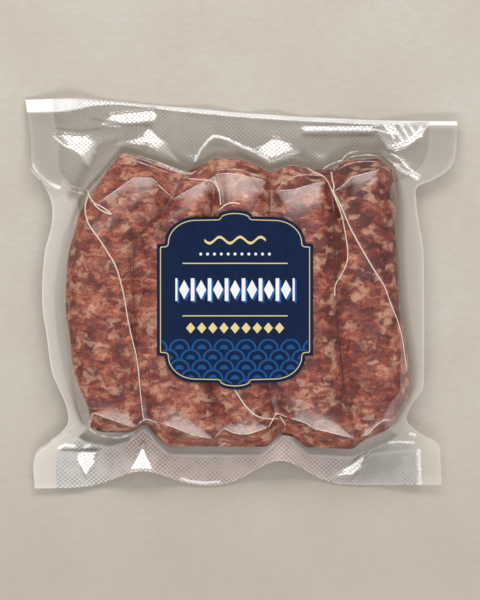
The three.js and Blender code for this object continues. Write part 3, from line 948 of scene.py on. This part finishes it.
tail_pieces = []
for number, (name, tail) in enumerate(CASING_TAILS.items()):
    tail_path = under_film(tail["route"], TAIL_STEP, LAYERS / 2)
    tail_radii = tapered(len(tail_path), tail["half"], number)
    tail_points, tail_faces = closed_rings(tube(tail_path, tail_radii, TWINE_SIDES, TAIL_FLAT))
    tail_pieces.append(add_piece(name, tail_points, tail_faces))
print("casing tails:", len(tail_pieces))

# %% [markdown]
# ## The film's creases
# Where film is pulled round an edge it is pinched into a crease. That is thinner than the film's grid, and a
# finer grid would cost too many faces, so each crease is a thin tube of its own, half sunk in the film.

# %% Creases
CREASE_RADIUS = 0.2
CREASE_SIDES = 6
CREASE_SEED = 40
CREASE_STEP = 0.6


def fold_route(lines, side, start, stop):
    """The part of a line across an end from x = start to x = stop, every half millimetre."""
    x = np.arange(start, stop, 0.5)
    return np.column_stack([x, across_ends(lines, side, x)])


CREASES = [fold_route(END_FOLDS, 1, *ends) for ends in
           [(-71, -33.8), (-33.2, -13), (-12.5, 11.5), (18, 40), (45.6, 69)]]
CREASES += [fold_route(END_FOLDS, -1, *ends) for ends in
            [(-73.8, -52), (-51, -39), (-38, -14), (-13, 13.5), (15, 24), (25, 57), (60, 75)]]
CREASES += [fold_route(MARGIN_FOLDS, 1, -23, 31)]
CREASES += [np.array(route) for route in [
    [(-12.5, 61), (-3.5, 61.7), (2.5, 60.3), (11, 57.2)],
    [(18.2, 51.7), (21, 54.8), (29.8, 58.8), (41, 58.3)],
    [(-0.1, -65), (2.5, -69.5)],
    [(-58, 69.3), (-48, 66.3), (-38, 62.6), (-28, 59.2)],
    [(-57.5, 67.8), (-46, 63.6), (-36, 60)],
    [(-52, 68.9), (-40, 65), (-30, 61.2), (-25, 60)],
    [(48, 61.5), (54, 64.6), (62, 65.8), (69, 65.5)],
    [(-11.3, -77.2), (-7.3, -74.5)],
    [(-53, -67.4), (-50.6, -65), (-47.7, -62.7), (-45.8, -62.9), (-40, -66)],
    *CORNER_FOLDS,
    [(89.5, -80), (89.2, -88), (90, -96.5)],
]]
crease_points, crease_faces, made_points = [], [], 0
for number, route in enumerate(CREASES):
    crease_path = under_film(route, CREASE_STEP, 0.0)
    crease_radii = tapered(len(crease_path), CREASE_RADIUS, CREASE_SEED + number)
    points, faces = closed_rings(tube(crease_path, crease_radii, CREASE_SIDES))
    crease_points.append(points)
    crease_faces += [[corner + made_points for corner in face] for face in faces]
    made_points += len(points)
creases = add_piece("film_creases", np.concatenate(crease_points), crease_faces)
print("creases:", len(CREASES), "in one piece of", len(creases.data.polygons), "faces")

# %% [markdown]
# ## The label
# The label is a thin plaque that spans from crown to crown. It could be cut out of a sheet, but a grid whose
# rows are as wide as the outline has clean edges and still bends over the links. The outline is given from
# the middle up: a wide band, a notch, a round shoulder and a crest.

# %% Label
LABEL_BAND, LABEL_BODY, LABEL_NOTCH, LABEL_SHOULDER = 38.6, 34.7, 27.6, 41.0
SHOULDER_ACROSS, CREST_HALF, CREST_RISE = 15.4, 8.5, 3.1
LABEL_CORNER = 0.25
LABEL_THICK = 0.2
LABEL_LIFT = 0.35
LABEL_DIP = 2.2
LABEL_COLUMNS = 120
BAND_ROWS, NOTCH_ROWS, TURN_ROWS = 40, 10, 24


def label_outline():
    """Heights over the label's middle and the half widths there, from the middle to the crest's tip."""
    band = [(up, LABEL_BAND) for up in np.linspace(0, LABEL_NOTCH, BAND_ROWS)]
    turn = np.linspace(0, math.pi / 2, TURN_ROWS)
    notch = np.linspace(0, 1, NOTCH_ROWS)[1:-1]
    band += [(LABEL_NOTCH + LABEL_CORNER * t, LABEL_BAND + (LABEL_BODY - LABEL_BAND) * t) for t in notch]
    start = LABEL_NOTCH + LABEL_CORNER
    shoulder_up = start + (LABEL_SHOULDER - start) * np.sin(turn)
    shoulder_half = LABEL_BODY - SHOULDER_ACROSS * (1 - np.cos(turn))
    start = LABEL_SHOULDER + LABEL_CORNER
    crest = [(start + CREST_RISE * math.sin(a), CREST_HALF * math.cos(a)) for a in turn[:-1]]
    half = np.array(band + list(zip(shoulder_up, shoulder_half)) + crest)
    return np.concatenate([half[:0:-1] * [-1, 1], half])


def label_z(x, y):
    """The label spans between neighbouring crowns, and follows the film past the outermost ones."""
    crowns = [centre_of(link, y) for link in LINKS[1:4]]
    on_film = front_z(x, y)
    share = np.where(
        x < crowns[1], (x - crowns[0]) / (crowns[1] - crowns[0]), (x - crowns[1]) / (crowns[2] - crowns[1])
    )
    spans = (x > crowns[0]) & (x < crowns[2])
    bridge = MIDDLE_Z + CROWN - LABEL_DIP * np.sin(math.pi * np.clip(share, 0, 1)) ** 2
    return np.where(spans, np.maximum(on_film, bridge), on_film) + LABEL_LIFT


outline = label_outline()
spread = np.linspace(-1, 1, LABEL_COLUMNS + 1)[None, :]
label_x = LABEL_CENTRE[0] + outline[:, 1:] * spread
label_y = LABEL_CENTRE[1] + outline[:, :1] + 0 * spread
label_top = label_z(label_x, label_y)
label_points = np.concatenate([
    np.stack([label_x, label_y, label_top + LABEL_THICK], axis=-1).reshape(-1, 3),
    np.stack([label_x, label_y, label_top], axis=-1).reshape(-1, 3),
])
label_rows, label_cols = label_x.shape
upper_rim = rim_of(label_rows, label_cols)
lower_rim = upper_rim + label_rows * label_cols
label_wall = np.stack([upper_rim, lower_rim, np.roll(lower_rim, -1), np.roll(upper_rim, -1)], axis=1)
label_faces = np.concatenate([
    grid_faces(label_rows, label_cols),
    grid_faces(label_rows, label_cols, label_rows * label_cols, flip=True),
    label_wall,
])
label = add_piece("label_print", label_points, label_faces.tolist())
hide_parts("label")
closed_outline = np.vstack([outline[:, ::-1], [[-half, up] for up, half in outline[::-1]]])
from_centre_x, from_centre_y = label_x - LABEL_CENTRE[0], label_y - LABEL_CENTRE[1]
to_edge, _ = distance_to(np.vstack([closed_outline, closed_outline[:1]]), from_centre_x, from_centre_y)
set_attribute(label, "edge", np.tile(to_edge.ravel(), 2))
print("label:", len(label_faces), "faces")

# %% [markdown]
# ## Shader maths
# A material here is written as an expression. One small class wraps a socket, and each operator adds the
# Math node that it stands for. Every other node comes from one method, which makes the settings first and
# then gives the inputs their values or links.

# %% Shader helper


class Signal:
    """A value that varies over a surface: one output socket in a material's tree."""

    def __init__(self, tree, socket=None):
        self.tree = tree
        self.socket = socket

    def node(self, kind, settings, inputs, output=0):
        """Adds a node and returns one of its outputs. An input gets a link from a Signal, or else a value."""
        made = self.tree.nodes.new("ShaderNode" + kind)
        for key, value in settings.items():
            if key == "stops":
                set_stops(made.color_ramp, value)
            else:
                setattr(made, key, value)
        for key, value in inputs.items():
            if isinstance(value, Signal):
                self.tree.links.new(value.socket, made.inputs[key])
            else:
                made.inputs[key].default_value = value
        return Signal(self.tree, made.outputs[output])

    def math(self, operation, *values):
        """One Math node over the values."""
        return self.node("Math", {"operation": operation}, dict(enumerate(values)))

    def __add__(self, other):
        return self.math("ADD", self, other)

    def __sub__(self, other):
        return self.math("SUBTRACT", self, other)

    def __rsub__(self, other):
        return self.math("SUBTRACT", other, self)

    def __mul__(self, other):
        return self.math("MULTIPLY", self, other)

    def __truediv__(self, other):
        return self.math("DIVIDE", self, other)

    def __abs__(self):
        return self.math("ABSOLUTE", self)

    __radd__ = __add__
    __rmul__ = __mul__

    def least(self, other):
        """The smaller of this and the other."""
        return self.math("MINIMUM", self, other)

    def most(self, other):
        """The larger of this and the other."""
        return self.math("MAXIMUM", self, other)

    def step(self, start, stop):
        """0 at start, 1 at stop and an S curve between. It falls where stop is the smaller."""
        inputs = {"Value": self, "From Min": start, "From Max": stop}
        return self.node("MapRange", {"interpolation_type": "SMOOTHSTEP"}, inputs)

    def ramp(self, stops):
        """A colour for each value: stops are places with sRGB colours in 0 to 255."""
        return self.node("ValToRGB", {"stops": stops}, {"Fac": self})

    def colour(self, base, over):
        """The colour base where this is 0 and the colour over where it is 1."""
        inputs = {"Factor": self, 6: rgba(base), 7: rgba(over)}
        return self.node("Mix", {"data_type": "RGBA"}, inputs, output=2)

    def vector(self, operation, *values):
        """One Vector Math node over the values."""
        return self.node("VectorMath", {"operation": operation}, dict(enumerate(values)))

    def toward(self, *direction):
        """How far this place lies in a direction: the sum of each coordinate times the direction's."""
        return self.node("VectorMath", {"operation": "DOT_PRODUCT"}, {0: self, 1: direction}, output=1)

    def noise(self, size, detail, roughness=0.5):
        """Smooth noise around 0.5 with lumps of the given size, in the units of this place."""
        inputs = {"Vector": self, "Scale": 1 / size, "Detail": detail, "Roughness": roughness}
        return self.node("TexNoise", {}, inputs)

    def attribute(self, name):
        """A number that the mesh keeps at its points."""
        return self.node("Attribute", {"attribute_name": name}, {}, output=2)

    def bump(self, height, strength, distance):
        """The surface's direction, tilted as if it rose by height times distance."""
        return self.node("Bump", {}, {"Height": height, "Strength": strength, "Distance": distance})


print("reflected operators:", [name for name in vars(Signal) if name.startswith("__r")])

# %% [markdown]
# ## Starting and finishing a material
# Colours are written as they look on a screen, in 0 to 255, and turned into light for the nodes. Each
# material starts with a place in the drawing's millimetres, so that a pattern's size is a real size.

# %% Materials


def linear(channel):
    """A display value in 0 to 255 as a share of light: the sRGB curve undone."""
    v = channel / 255
    return v / 12.92 if v <= 0.04045 else ((v + 0.055) / 1.055) ** 2.4


def rgba(colour):
    """A colour in 0 to 255 as light, or a Signal as it is."""
    return colour if isinstance(colour, Signal) else (*[linear(c) for c in colour], 1.0)


def set_stops(ramp, stops):
    """Gives a colour ramp its stops, each a place and a colour in 0 to 255."""
    while len(ramp.elements) < len(stops):
        ramp.elements.new(0.5)
    for element, (place, colour) in zip(ramp.elements, stops):
        element.position = place
        element.color = rgba(colour)


def new_material(name):
    """A material with an empty tree, its place in drawing millimetres, and its output node."""
    made = bpy.data.materials.new(name)
    made.use_nodes = True
    tree = made.node_tree
    tree.nodes.clear()
    out = tree.nodes.new("ShaderNodeOutputMaterial")
    place = Signal(tree).node("TexCoord", {}, {}, output=3)
    drawn = place.node("VectorMath", {"operation": "SCALE"}, {0: place, 3: 1 / MM})
    drawn = drawn.vector("SUBTRACT", drawn, tuple(shift))
    return made, drawn, out


def finish_material(made, out, shader, pieces):
    """Sends the shader to the material's output and puts the material on the pieces, alone."""
    made.node_tree.links.new(shader.socket, out.inputs["Surface"])
    for piece in pieces:
        piece.data.materials.clear()
        piece.data.materials.append(made)
    print("finish:", made.name, "on", len(pieces), "pieces, from", len(made.node_tree.nodes), "nodes")


print("a middle grey of 128 is", round(linear(128), 3), "of full light")

# %% [markdown]
# ## The film's finish
# Clear film lets light straight through, so it is a transparent shader with a thin mirror over it. The
# lattice embossed in it is two crossed families of shallow waves. In the margins it scatters light, which
# dims what is behind it, and where a facet faces a lamp it glitters, with a little painted highlight added.
# The welds are pressed smooth and a little milky, and darker along the top. The bottom margin is painted
# the palest, as light over the shadow that the links cast there, with a painted pink reflection of the meat.
# Near the meat the juice is browned with painted shade, and painted white sheen and highlights lie along the
# folds and the rolled top edge.

# %% Film material
LATTICE_PITCH = 1.6
LATTICE_ANGLE = math.radians(48)


def lattice(place):
    """The embossing's height: the smaller of two crossed waves, each the size of a sine across its ridges."""
    waves = []
    for turn in (LATTICE_ANGLE, -LATTICE_ANGLE):
        run = place.toward(math.cos(turn), math.sin(turn), 0.0)
        waves.append(abs(place.math("SINE", run * (math.pi / LATTICE_PITCH))))
    return waves[0].least(waves[1])


def film_finish(pieces):
    """Mixes clear film with a skin that mirrors and scatters. share is how much of the skin is seen, base
    its colour, and matt how much of it scatters light instead of mirroring it."""
    made, place, out = new_material("clear_film")
    clings, welded, embossed, pocket = (
        place.attribute(name) for name in ("clings", "welded", "embossed", "pocket")
    )
    edge, rolled, sheen, facet, whitened, shaded, dulled = (
        place.attribute(name) for name in ("edge", "rolled", "sheen", "facet", "whitened", "shaded", "dulled")
    )

    # Where in the pack a point is, and where a pink reflection of the meat is painted on the bottom margin.
    along_x, along_y = place.toward(1.0, 0.0, 0.0), place.toward(0.0, 1.0, 0.0)
    south = along_y.step(-54.0, -70.0)
    north = along_y.step(46.0, 60.0) * welded
    west = along_x.step(80.0, -80.0)
    east = along_x.step(45.0, 65.0)
    pink_reflection = south * embossed * abs(along_x + 5.0).step(75.0, 45.0)

    # The lattice's grooves, the painted sheen by the folds and the painted white highlights along them.
    pillow = lattice(place)
    crinkle = place.noise(2.6, 3.0, 0.55) - 0.5
    fine = place.noise(0.7, 2.0) - 0.5
    uneven = place.noise(7.0, 2.0).step(0.3, 0.7)
    flat = facet.step(0.4, 0.9)
    groove = (pillow * (1 - south * 0.4)).step(0.46, 0.06) * embossed * (0.65 + uneven * 0.35)
    groove = groove * (1 - flat * (0.15 + south * 0.6))
    grain = place.noise(0.8, 3.0, 0.65).step(0.36, 0.62)
    # The painted sheen near the folds, standing in for the lamps' reflection, broken up by noise.
    patch = (sheen + place.noise(1.8, 3.0, 0.6) * 0.6 - 0.3).step(0.0, 0.75)
    painted_sheen = patch * (0.5 + grain * 0.5)
    # Painted white highlights along the marked folds.
    white = (whitened + place.noise(1.1, 2.0) * 1.2 - 0.8).step(0.0, 0.7)

    # The fine relief, and how much of the skin is seen.
    height = pillow * embossed * 0.02 + crinkle * (0.05 + clings * 0.1) + fine * (0.01 + clings * 0.06)
    normal = place.bump(height, 1.0, MM)
    gloss = place.node("LayerWeight", {}, {"Blend": 0.25, "Normal": normal})
    # In the bottom margin more of the pale skin is seen: painted light over the shadow that the links cast
    # there.
    share = 0.05 + gloss * (0.22 - pocket * 0.15 - south * 0.15)
    share = share + embossed * (0.06 + south * (0.53 - flat * 0.37 - east * 0.29))
    share = share + groove * (0.3 + south * 0.2) - clings * 0.015 + north * (1 - west) * 0.2
    # Over the juice round the meat, the brown skin is partly the juice and partly painted shade.
    share = share + welded * (0.13 + west * 0.24 + south * 0.04) + pocket * 0.42 + edge * (0.2 - south * 0.1)
    # On the facets more skin is seen: partly their stronger mirror, partly a painted white highlight.
    share = share + painted_sheen * (0.21 + south * 0.2 + sheen * 0.14) + facet * 0.12 + rolled * 0.42
    share = share + white * 0.5 + shaded * 0.12

    # The skin's colour, laid on in layers, and its scattering.
    base = welded.colour((250, 247, 243), (246, 240, 232))
    base = (north * 0.9).colour(base, (205, 198, 190))
    # A pink reflection of the meat, painted on the bottom margin.
    base = (pink_reflection * (0.8 - flat * 0.8)).colour(base, (248, 228, 221))
    # Brown over the juice round the meat: partly its own colour, partly painted shade.
    base = (pocket * 1.2).least(0.95).colour(base, (124, 105, 86))
    # The painted sheen's colour, standing in for the lamps' reflection by the folds.
    base = painted_sheen.colour(base, (246, 224, 218))
    base = (shaded * 0.9).colour(base, (124, 112, 100))
    base = (dulled * 0.85 - facet).colour(base, (140, 129, 117))
    # The rolled top edge, painted white as its highlight.
    base = rolled.colour(base, (253, 252, 249))
    line = south.colour((118, 109, 102), (84, 77, 71))
    line = pink_reflection.colour(line, (98, 76, 72))
    base = (groove * (0.85 - rolled * 0.5)).colour(base, line)
    # The colour of the painted white highlights along the folds.
    base = white.colour(base, (253, 252, 250))
    matt = welded * 0.8 + edge * 0.8 + pocket * 1.2 + painted_sheen * 0.8 + groove + facet * 0.25 + embossed * 0.2
    matt = matt + rolled + white * 0.8 + shaded + dulled * 1.5 + south * (1 - clings) * (0.75 - flat * 0.75)
    skin = place.node("BsdfPrincipled", {}, {
        "Base Color": base, "Metallic": 1 - matt.least(1.0),
        "Roughness": 0.12 + clings * 0.26 + welded * 0.1 + painted_sheen * 0.2 + groove * 0.3 + dulled * 0.45,
        "Normal": normal,
    })
    clear = place.node("BsdfTransparent", {}, {"Color": (0.985, 0.98, 0.973, 1)})
    shader = place.node("MixShader", {}, {0: share.least(1.0), 1: clear, 2: skin})
    finish_material(made, out, shader, pieces)


film_finish([film])

# %% [markdown]
# A crease is the same film bunched up, so more of it is seen at once: it is milky and bright. The casing's
# ends are clearer and a little yellow. Both finishes come from one function.

# %% Crease and casing materials


def milky_finish(name, pieces, tone, cover):
    """Bunched film or casing: an uneven mix of clear and a milky skin, the skin taking at most cover."""
    made, place, out = new_material(name)
    uneven = place.noise(2.2, 3.0, 0.6).step(0.3, 0.62)
    base = uneven.colour(tone, (250, 246, 242))
    skin = place.node("BsdfPrincipled", {}, {
        "Base Color": base, "Roughness": 0.25 + uneven * 0.1,
        "Normal": place.bump(place.noise(0.5, 2.0), 0.5, 0.1 * MM),
    })
    clear = place.node("BsdfTransparent", {}, {"Color": (0.98, 0.97, 0.96, 1)})
    shader = place.node("MixShader", {}, {0: cover * 0.45 + uneven * (cover * 0.55), 1: clear, 2: skin})
    finish_material(made, out, shader, pieces)


milky_finish("creased_film", [creases], (226, 208, 202), 0.85)
milky_finish("casing_end", tail_pieces, (214, 196, 170), 0.75)

# %% [markdown]
# ## Coarse mince
# The mince shows through the casing as soft patches of lean and fat, smeared across the link as it was
# filled. Smooth Voronoi cells could draw the patches, but alone they look like tiles. Here a place bent by
# noise tears their edges, and three more layers of noise lay fat, dark lean and a mauve bloom over them.
# Noise stretched across the link draws the fibres, and rare small cells are flecks of pepper and herb.

# %% Meat material


def meat_finish(pieces):
    """Colours the mince by lean, a sum of cells and noises from 0 for dark meat to 1 for fat, and then lays
    the patches, the specks, the links' darker sides and painted shade in the nips over it."""
    made, place, out = new_material("coarse_mince")
    warp = place.node("TexNoise", {}, {"Vector": place, "Scale": 0.2, "Detail": 2.0}, output=1)
    warp = warp.vector("SUBTRACT", warp, (0.5, 0.5, 0.5))
    bent = place.vector("ADD", place, place.vector("MULTIPLY", warp, (7.0, 6.0, 6.0)))
    smeared = place.vector("MULTIPLY", bent, (0.72, 1.0, 0.85))

    def cells(where, size, smooth):
        """A random colour for each smooth cell of the given size."""
        inputs = {"Vector": where, "Scale": 1 / size, "Smoothness": smooth}
        return place.node("TexVoronoi", {"feature": "SMOOTH_F1"}, inputs, output=1)

    def moved(x, y, z):
        """The smeared place moved away, so that a layer of noise isn't the same as the others."""
        return smeared.vector("ADD", smeared, (x, y, z))

    coarse = place.node("SeparateColor", {}, {0: cells(smeared, 5.0, 0.7)})
    middle = place.node("SeparateColor", {}, {0: cells(smeared, 2.4, 0.6)}, output=1)
    mottle = smeared.noise(7.5, 4.0, 0.55)
    fibres = place.vector("MULTIPLY", bent, (0.3, 1.0, 0.6)).noise(2.0, 3.0, 0.55)
    grain = place.noise(0.7, 2.0, 0.6)
    lean = coarse * 0.2 + middle * 0.1 + mottle * 1.4 + fibres * 0.95 + grain * 0.65 - 1.205
    tone = (lean - place.attribute("shade") * 0.13).ramp([
        (0.1, (76, 14, 16)), (0.27, (117, 38, 30)), (0.42, (149, 69, 50)), (0.57, (176, 102, 78)),
        (0.72, (198, 137, 111)), (0.9, (216, 170, 146)),
    ])
    fat = moved(37, 11, 5).noise(5.5, 2.0, 0.5).step(0.53, 0.66)
    dark = moved(-23, 40, 9).noise(3.0, 2.0, 0.5).step(0.55, 0.66)
    mauve = moved(71, -8, 3).noise(6.0, 2.0, 0.5).step(0.5, 0.7)
    tone = (mauve * 0.4).colour(tone, (134, 78, 80))
    tone = (fat * (0.15 + fibres * 0.9)).colour(tone, (210, 166, 140))
    tone = (dark * (0.35 + fibres * 0.7)).colour(tone, (92, 24, 26))
    spicing = {"Vector": place, "Scale": 0.22, "Randomness": 1.0}
    spice = place.node("TexVoronoi", {}, spicing)
    spice_cells = place.node("TexVoronoi", {}, spicing, output=1)
    spice_kind = place.node("SeparateColor", {}, {0: spice_cells})
    speck = (spice + grain * 0.1).step(0.24, 0.17)
    chili = speck * spice_kind.step(0.76, 0.78)
    herb = speck * spice_kind.step(0.16, 0.14)
    tone = chili.colour(tone, (186, 72, 28))
    tone = herb.colour(tone, (80, 72, 54))
    tone = (place.attribute("rim") * 0.55).colour(tone, (156, 84, 58))
    # Painted shade in the nips, where neighbouring links press together.
    tone = (place.attribute("nip") * 0.5).colour(tone, (94, 40, 32))
    height = coarse * 0.5 + fibres * 0.5
    shader = place.node("BsdfPrincipled", {}, {
        "Base Color": tone, "Roughness": 0.42 + coarse * 0.15, "Normal": place.bump(height, 0.6, 0.5 * MM),
    })
    finish_material(made, out, shader, pieces)


meat_finish(links)

# %% [markdown]
# ## Twine's finish
# Twine is two plies twisted together, so grooves wind round it, and shade is painted into them. Each tube
# keeps how far along and how far round a point is, and a sine of the two draws the grooves.

# %% Twine material


def twine_finish(pieces):
    """Cotton whose tone and relief follow the size of a sine of the run and the turn, with a little fuzz. The
    tone is darker in the grooves as painted shade.
    """
    made, place, out = new_material("cotton_twine")
    run = place.attribute("run")
    around = place.attribute("around")
    ply = abs(place.math("SINE", run * 1.9 + around))
    fuzz = place.noise(0.35, 2.0)
    # The tone darkens in the grooves: painted shade.
    tone = (ply * 0.7 + fuzz * 0.4).ramp([
        (0.1, (194, 166, 146)), (0.5, (230, 210, 194)), (1.0, (244, 232, 220)),
    ])
    shader = place.node("BsdfPrincipled", {}, {
        "Base Color": tone, "Roughness": 0.85, "Normal": place.bump(ply + fuzz * 0.4, 0.8, 0.12 * MM),
    })
    finish_material(made, out, shader, pieces)


twine_finish(twine_pieces)

# %% [markdown]
# ## The label's print
# The print could be an image, but drawn by formulas it stays sharp at any size. It is drawn in the label's
# own millimetres. Each shape is a number that is 1 inside and 0 outside, with a thin soft edge, and the
# shapes are laid over each other like inks.

# %% Label material
PRINT_SOFT = 0.09


def label_finish(pieces):
    """Lays the print over navy paper: scallops, a band of bars over its own shadow, a wavy ribbon, two rules,
    a row of lozenges, a border and a row of dots."""
    made, place, out = new_material("printed_label")
    x = place.toward(1.0, 0.0, 0.0) - LABEL_CENTRE[0]
    y = place.toward(0.0, 1.0, 0.0) - LABEL_CENTRE[1]
    edge = place.attribute("edge")

    def inside(distance):
        """1 where a signed distance is below 0."""
        return distance.step(PRINT_SOFT, -PRINT_SOFT)

    def bar(cx, cy, width, height):
        """1 inside a rectangle around cx, cy."""
        return inside((abs(x - cx) - width / 2).most(abs(y - cy) - height / 2))

    def lozenge(px, py, width, height):
        """1 inside a lozenge around 0, where the shares of its width and height add up to under a half."""
        return inside((abs(px) * (1 / width) + abs(py) * (1 / height) - 0.5) * min(width, height))

    def repeat(value, pitch):
        """value folded into one pitch around 0."""
        return place.math("WRAP", value, pitch / 2, -pitch / 2)

    def motif(dx, dy):
        """A band of tall bars with lozenges between, moved by dx and dy."""
        px, py = x - dx, y - dy - 5.0
        within = inside((abs(px) - 29.5).most(abs(py) - 8.0))
        bars = inside((abs(repeat(px + 4.2, 8.4)) - 0.9).most(abs(py) - 5.6))
        gems = lozenge(repeat(px, 8.4), py, 5.0, 9.6)
        return within * bars.most(gems)

    navy = place.noise(3.0, 2.0).colour((4, 25, 58), (8, 31, 66))
    scale_y = y + 39.5
    offset = repeat(place.math("FLOOR", scale_y / 5.0) * 5.5, 11.0)
    fold_x = repeat(x + offset, 11.0)
    fold_y = scale_y - place.math("FLOOR", scale_y / 5.0) * 5.0
    away = place.math("SQRT", fold_x * fold_x + fold_y * fold_y)
    scallop = inside(abs(away - 4.7) - 0.5).most(inside(away - 2.2)) * inside(y + 19.5)
    tone = (scallop * inside(2.4 - edge)).colour(navy, (22, 76, 132))
    tone = motif(0.9, -0.9).colour(tone, (28, 88, 156))
    tone = motif(0.0, 0.0).colour(tone, (233, 234, 240))
    wave = place.math("SINE", x * 0.62) * 1.5
    ribbon = inside(abs(y - 29.5 - wave) - 0.65) * inside(abs(x) - 15.2)
    rule = bar(0.0, 18.0, 52.0, 0.5).most(bar(0.0, -8.0, 52.0, 0.5))
    row = inside((abs(x) - 24.7).most(abs(y + 14.0) - 3.0)) * lozenge(repeat(x, 5.5), y + 14.0, 4.6, 5.4)
    border = inside(abs(edge - 1.7) - 0.22)
    cream = ribbon.most(rule).most(row).most(border * 0.9)
    tone = cream.colour(tone, (222, 204, 142))
    dot_x, dot_y = repeat(x, 3.4), y - 22.6
    dots = inside(place.math("SQRT", dot_x * dot_x + dot_y * dot_y) - 0.7)
    tone = (dots * inside(abs(x) - 18.4)).colour(tone, (233, 234, 240))
    paper = place.noise(0.5, 3.0)
    shader = place.node("BsdfPrincipled", {}, {
        "Base Color": tone, "Roughness": 0.5 + paper * 0.12, "Normal": place.bump(paper, 0.25, 0.1 * MM),
        "Specular IOR Level": 0.15,
    })
    finish_material(made, out, shader, pieces)


label_finish([label])

# %% [markdown]
# ## Floor
# The pack lies on a plain pale floor. It could be one square, but a few rows keep its faces small. Its
# finish is nearly even, with faint clouds and a faint grain.

# %% Floor
FLOOR_SIZE = 3000.0
FLOOR_DROP = 0.02
FLOOR_ROWS = 9
floor_line = np.linspace(-1, 1, FLOOR_ROWS) * FLOOR_SIZE / 2
floor_x, floor_y = np.meshgrid(floor_line, floor_line)
floor_points = np.stack([floor_x, floor_y, 0 * floor_x - FLOOR_DROP], axis=-1).reshape(-1, 3)
floor_mesh = bpy.data.meshes.new("floor")
floor_mesh.from_pydata((floor_points * MM).tolist(), [], grid_faces(FLOOR_ROWS, FLOOR_ROWS).tolist())
floor = bpy.data.objects.new("floor", floor_mesh)
bpy.context.scene.collection.objects.link(floor)


def floor_finish(pieces):
    """A pale matt floor with faint clouds, a grain along X and a little less light in front of the pack."""
    made, place, out = new_material("pale_floor")
    cloud = place.noise(60.0, 3.0, 0.55)
    grain = place.vector("MULTIPLY", place, (0.45, 1.0, 1.0)).noise(2.4, 3.0, 0.65)
    tone = (cloud * 0.55 + grain * 0.45).ramp([(0.3, (187, 177, 165)), (0.7, (201, 194, 184))])
    # Painted shade: the floor darkens towards the front of the pack, where less light falls.
    near = place.toward(0.0, 1.0, 0.0).step(-40.0, -150.0)
    tone = (near * 0.5).colour(tone, (174, 163, 150))
    shader = place.node("BsdfPrincipled", {}, {
        "Base Color": tone, "Roughness": 0.85, "Normal": place.bump(grain, 0.3, 0.3 * MM),
    })
    finish_material(made, out, shader, pieces)


floor_finish([floor])

# %% [markdown]
# ## Camera and light
# The camera looks straight down from far off, so that the pack's sides stay upright. Two wide lamps stand
# beyond the pack's top and bottom, low enough that level film mirrors only the dark room, and folds that
# lean towards a lamp turn white. An even world light fills the rest.

# %% Camera and light
VIEW_HEIGHT = 300.0
CAMERA_DISTANCE = 1600.0
SENSOR = 36.0
VIEW_CENTRE = (-0.5, -3.5)
FOCUS_Z = 15.0

eye = bpy.data.cameras.new("camera")
eye.sensor_fit = "VERTICAL"
eye.sensor_height = SENSOR
eye.lens = SENSOR * CAMERA_DISTANCE / VIEW_HEIGHT
eye.clip_start, eye.clip_end = 0.05, 20.0
camera = bpy.data.objects.new("camera", eye)
camera.location = [(v + s) * MM for v, s in zip((*VIEW_CENTRE, FOCUS_Z + CAMERA_DISTANCE), shift)]
bpy.context.scene.collection.objects.link(camera)
bpy.context.scene.camera = camera


def add_lamp(name, zenith, turn, distance, size, power):
    """A rectangular lamp, in metres and watts, that faces the pack from zenith degrees off overhead and
    turned about Z."""
    lamp = bpy.data.lights.new(name, "AREA")
    lamp.shape = "RECTANGLE"
    lamp.size, lamp.size_y = size
    lamp.energy = power
    holder = bpy.data.objects.new(name, lamp)
    tilt, heading = math.radians(zenith), math.radians(turn)
    reach_out = distance * math.sin(tilt)
    rise = distance * math.cos(tilt)
    holder.location = (-reach_out * math.sin(heading), reach_out * math.cos(heading), rise)
    holder.rotation_euler = (-tilt, 0.0, heading)
    bpy.context.scene.collection.objects.link(holder)


add_lamp("lamp_top", 46, 0, 1.5, (1.7, 0.5), 15.5)
add_lamp("lamp_bottom", 45, 180, 1.5, (1.5, 0.35), 8.5)

world = bpy.data.worlds.new("room")
world.use_nodes = True
room = world.node_tree.nodes["Background"].inputs
room["Color"].default_value = (1.0, 0.985, 0.965, 1)
room["Strength"].default_value = 0.5
bpy.context.scene.world = world
bpy.context.scene.view_settings.view_transform = "Standard"
print("camera", round(camera.location.z, 3), "m up, with", len(bpy.data.lights), "lamps")

# %% [markdown]
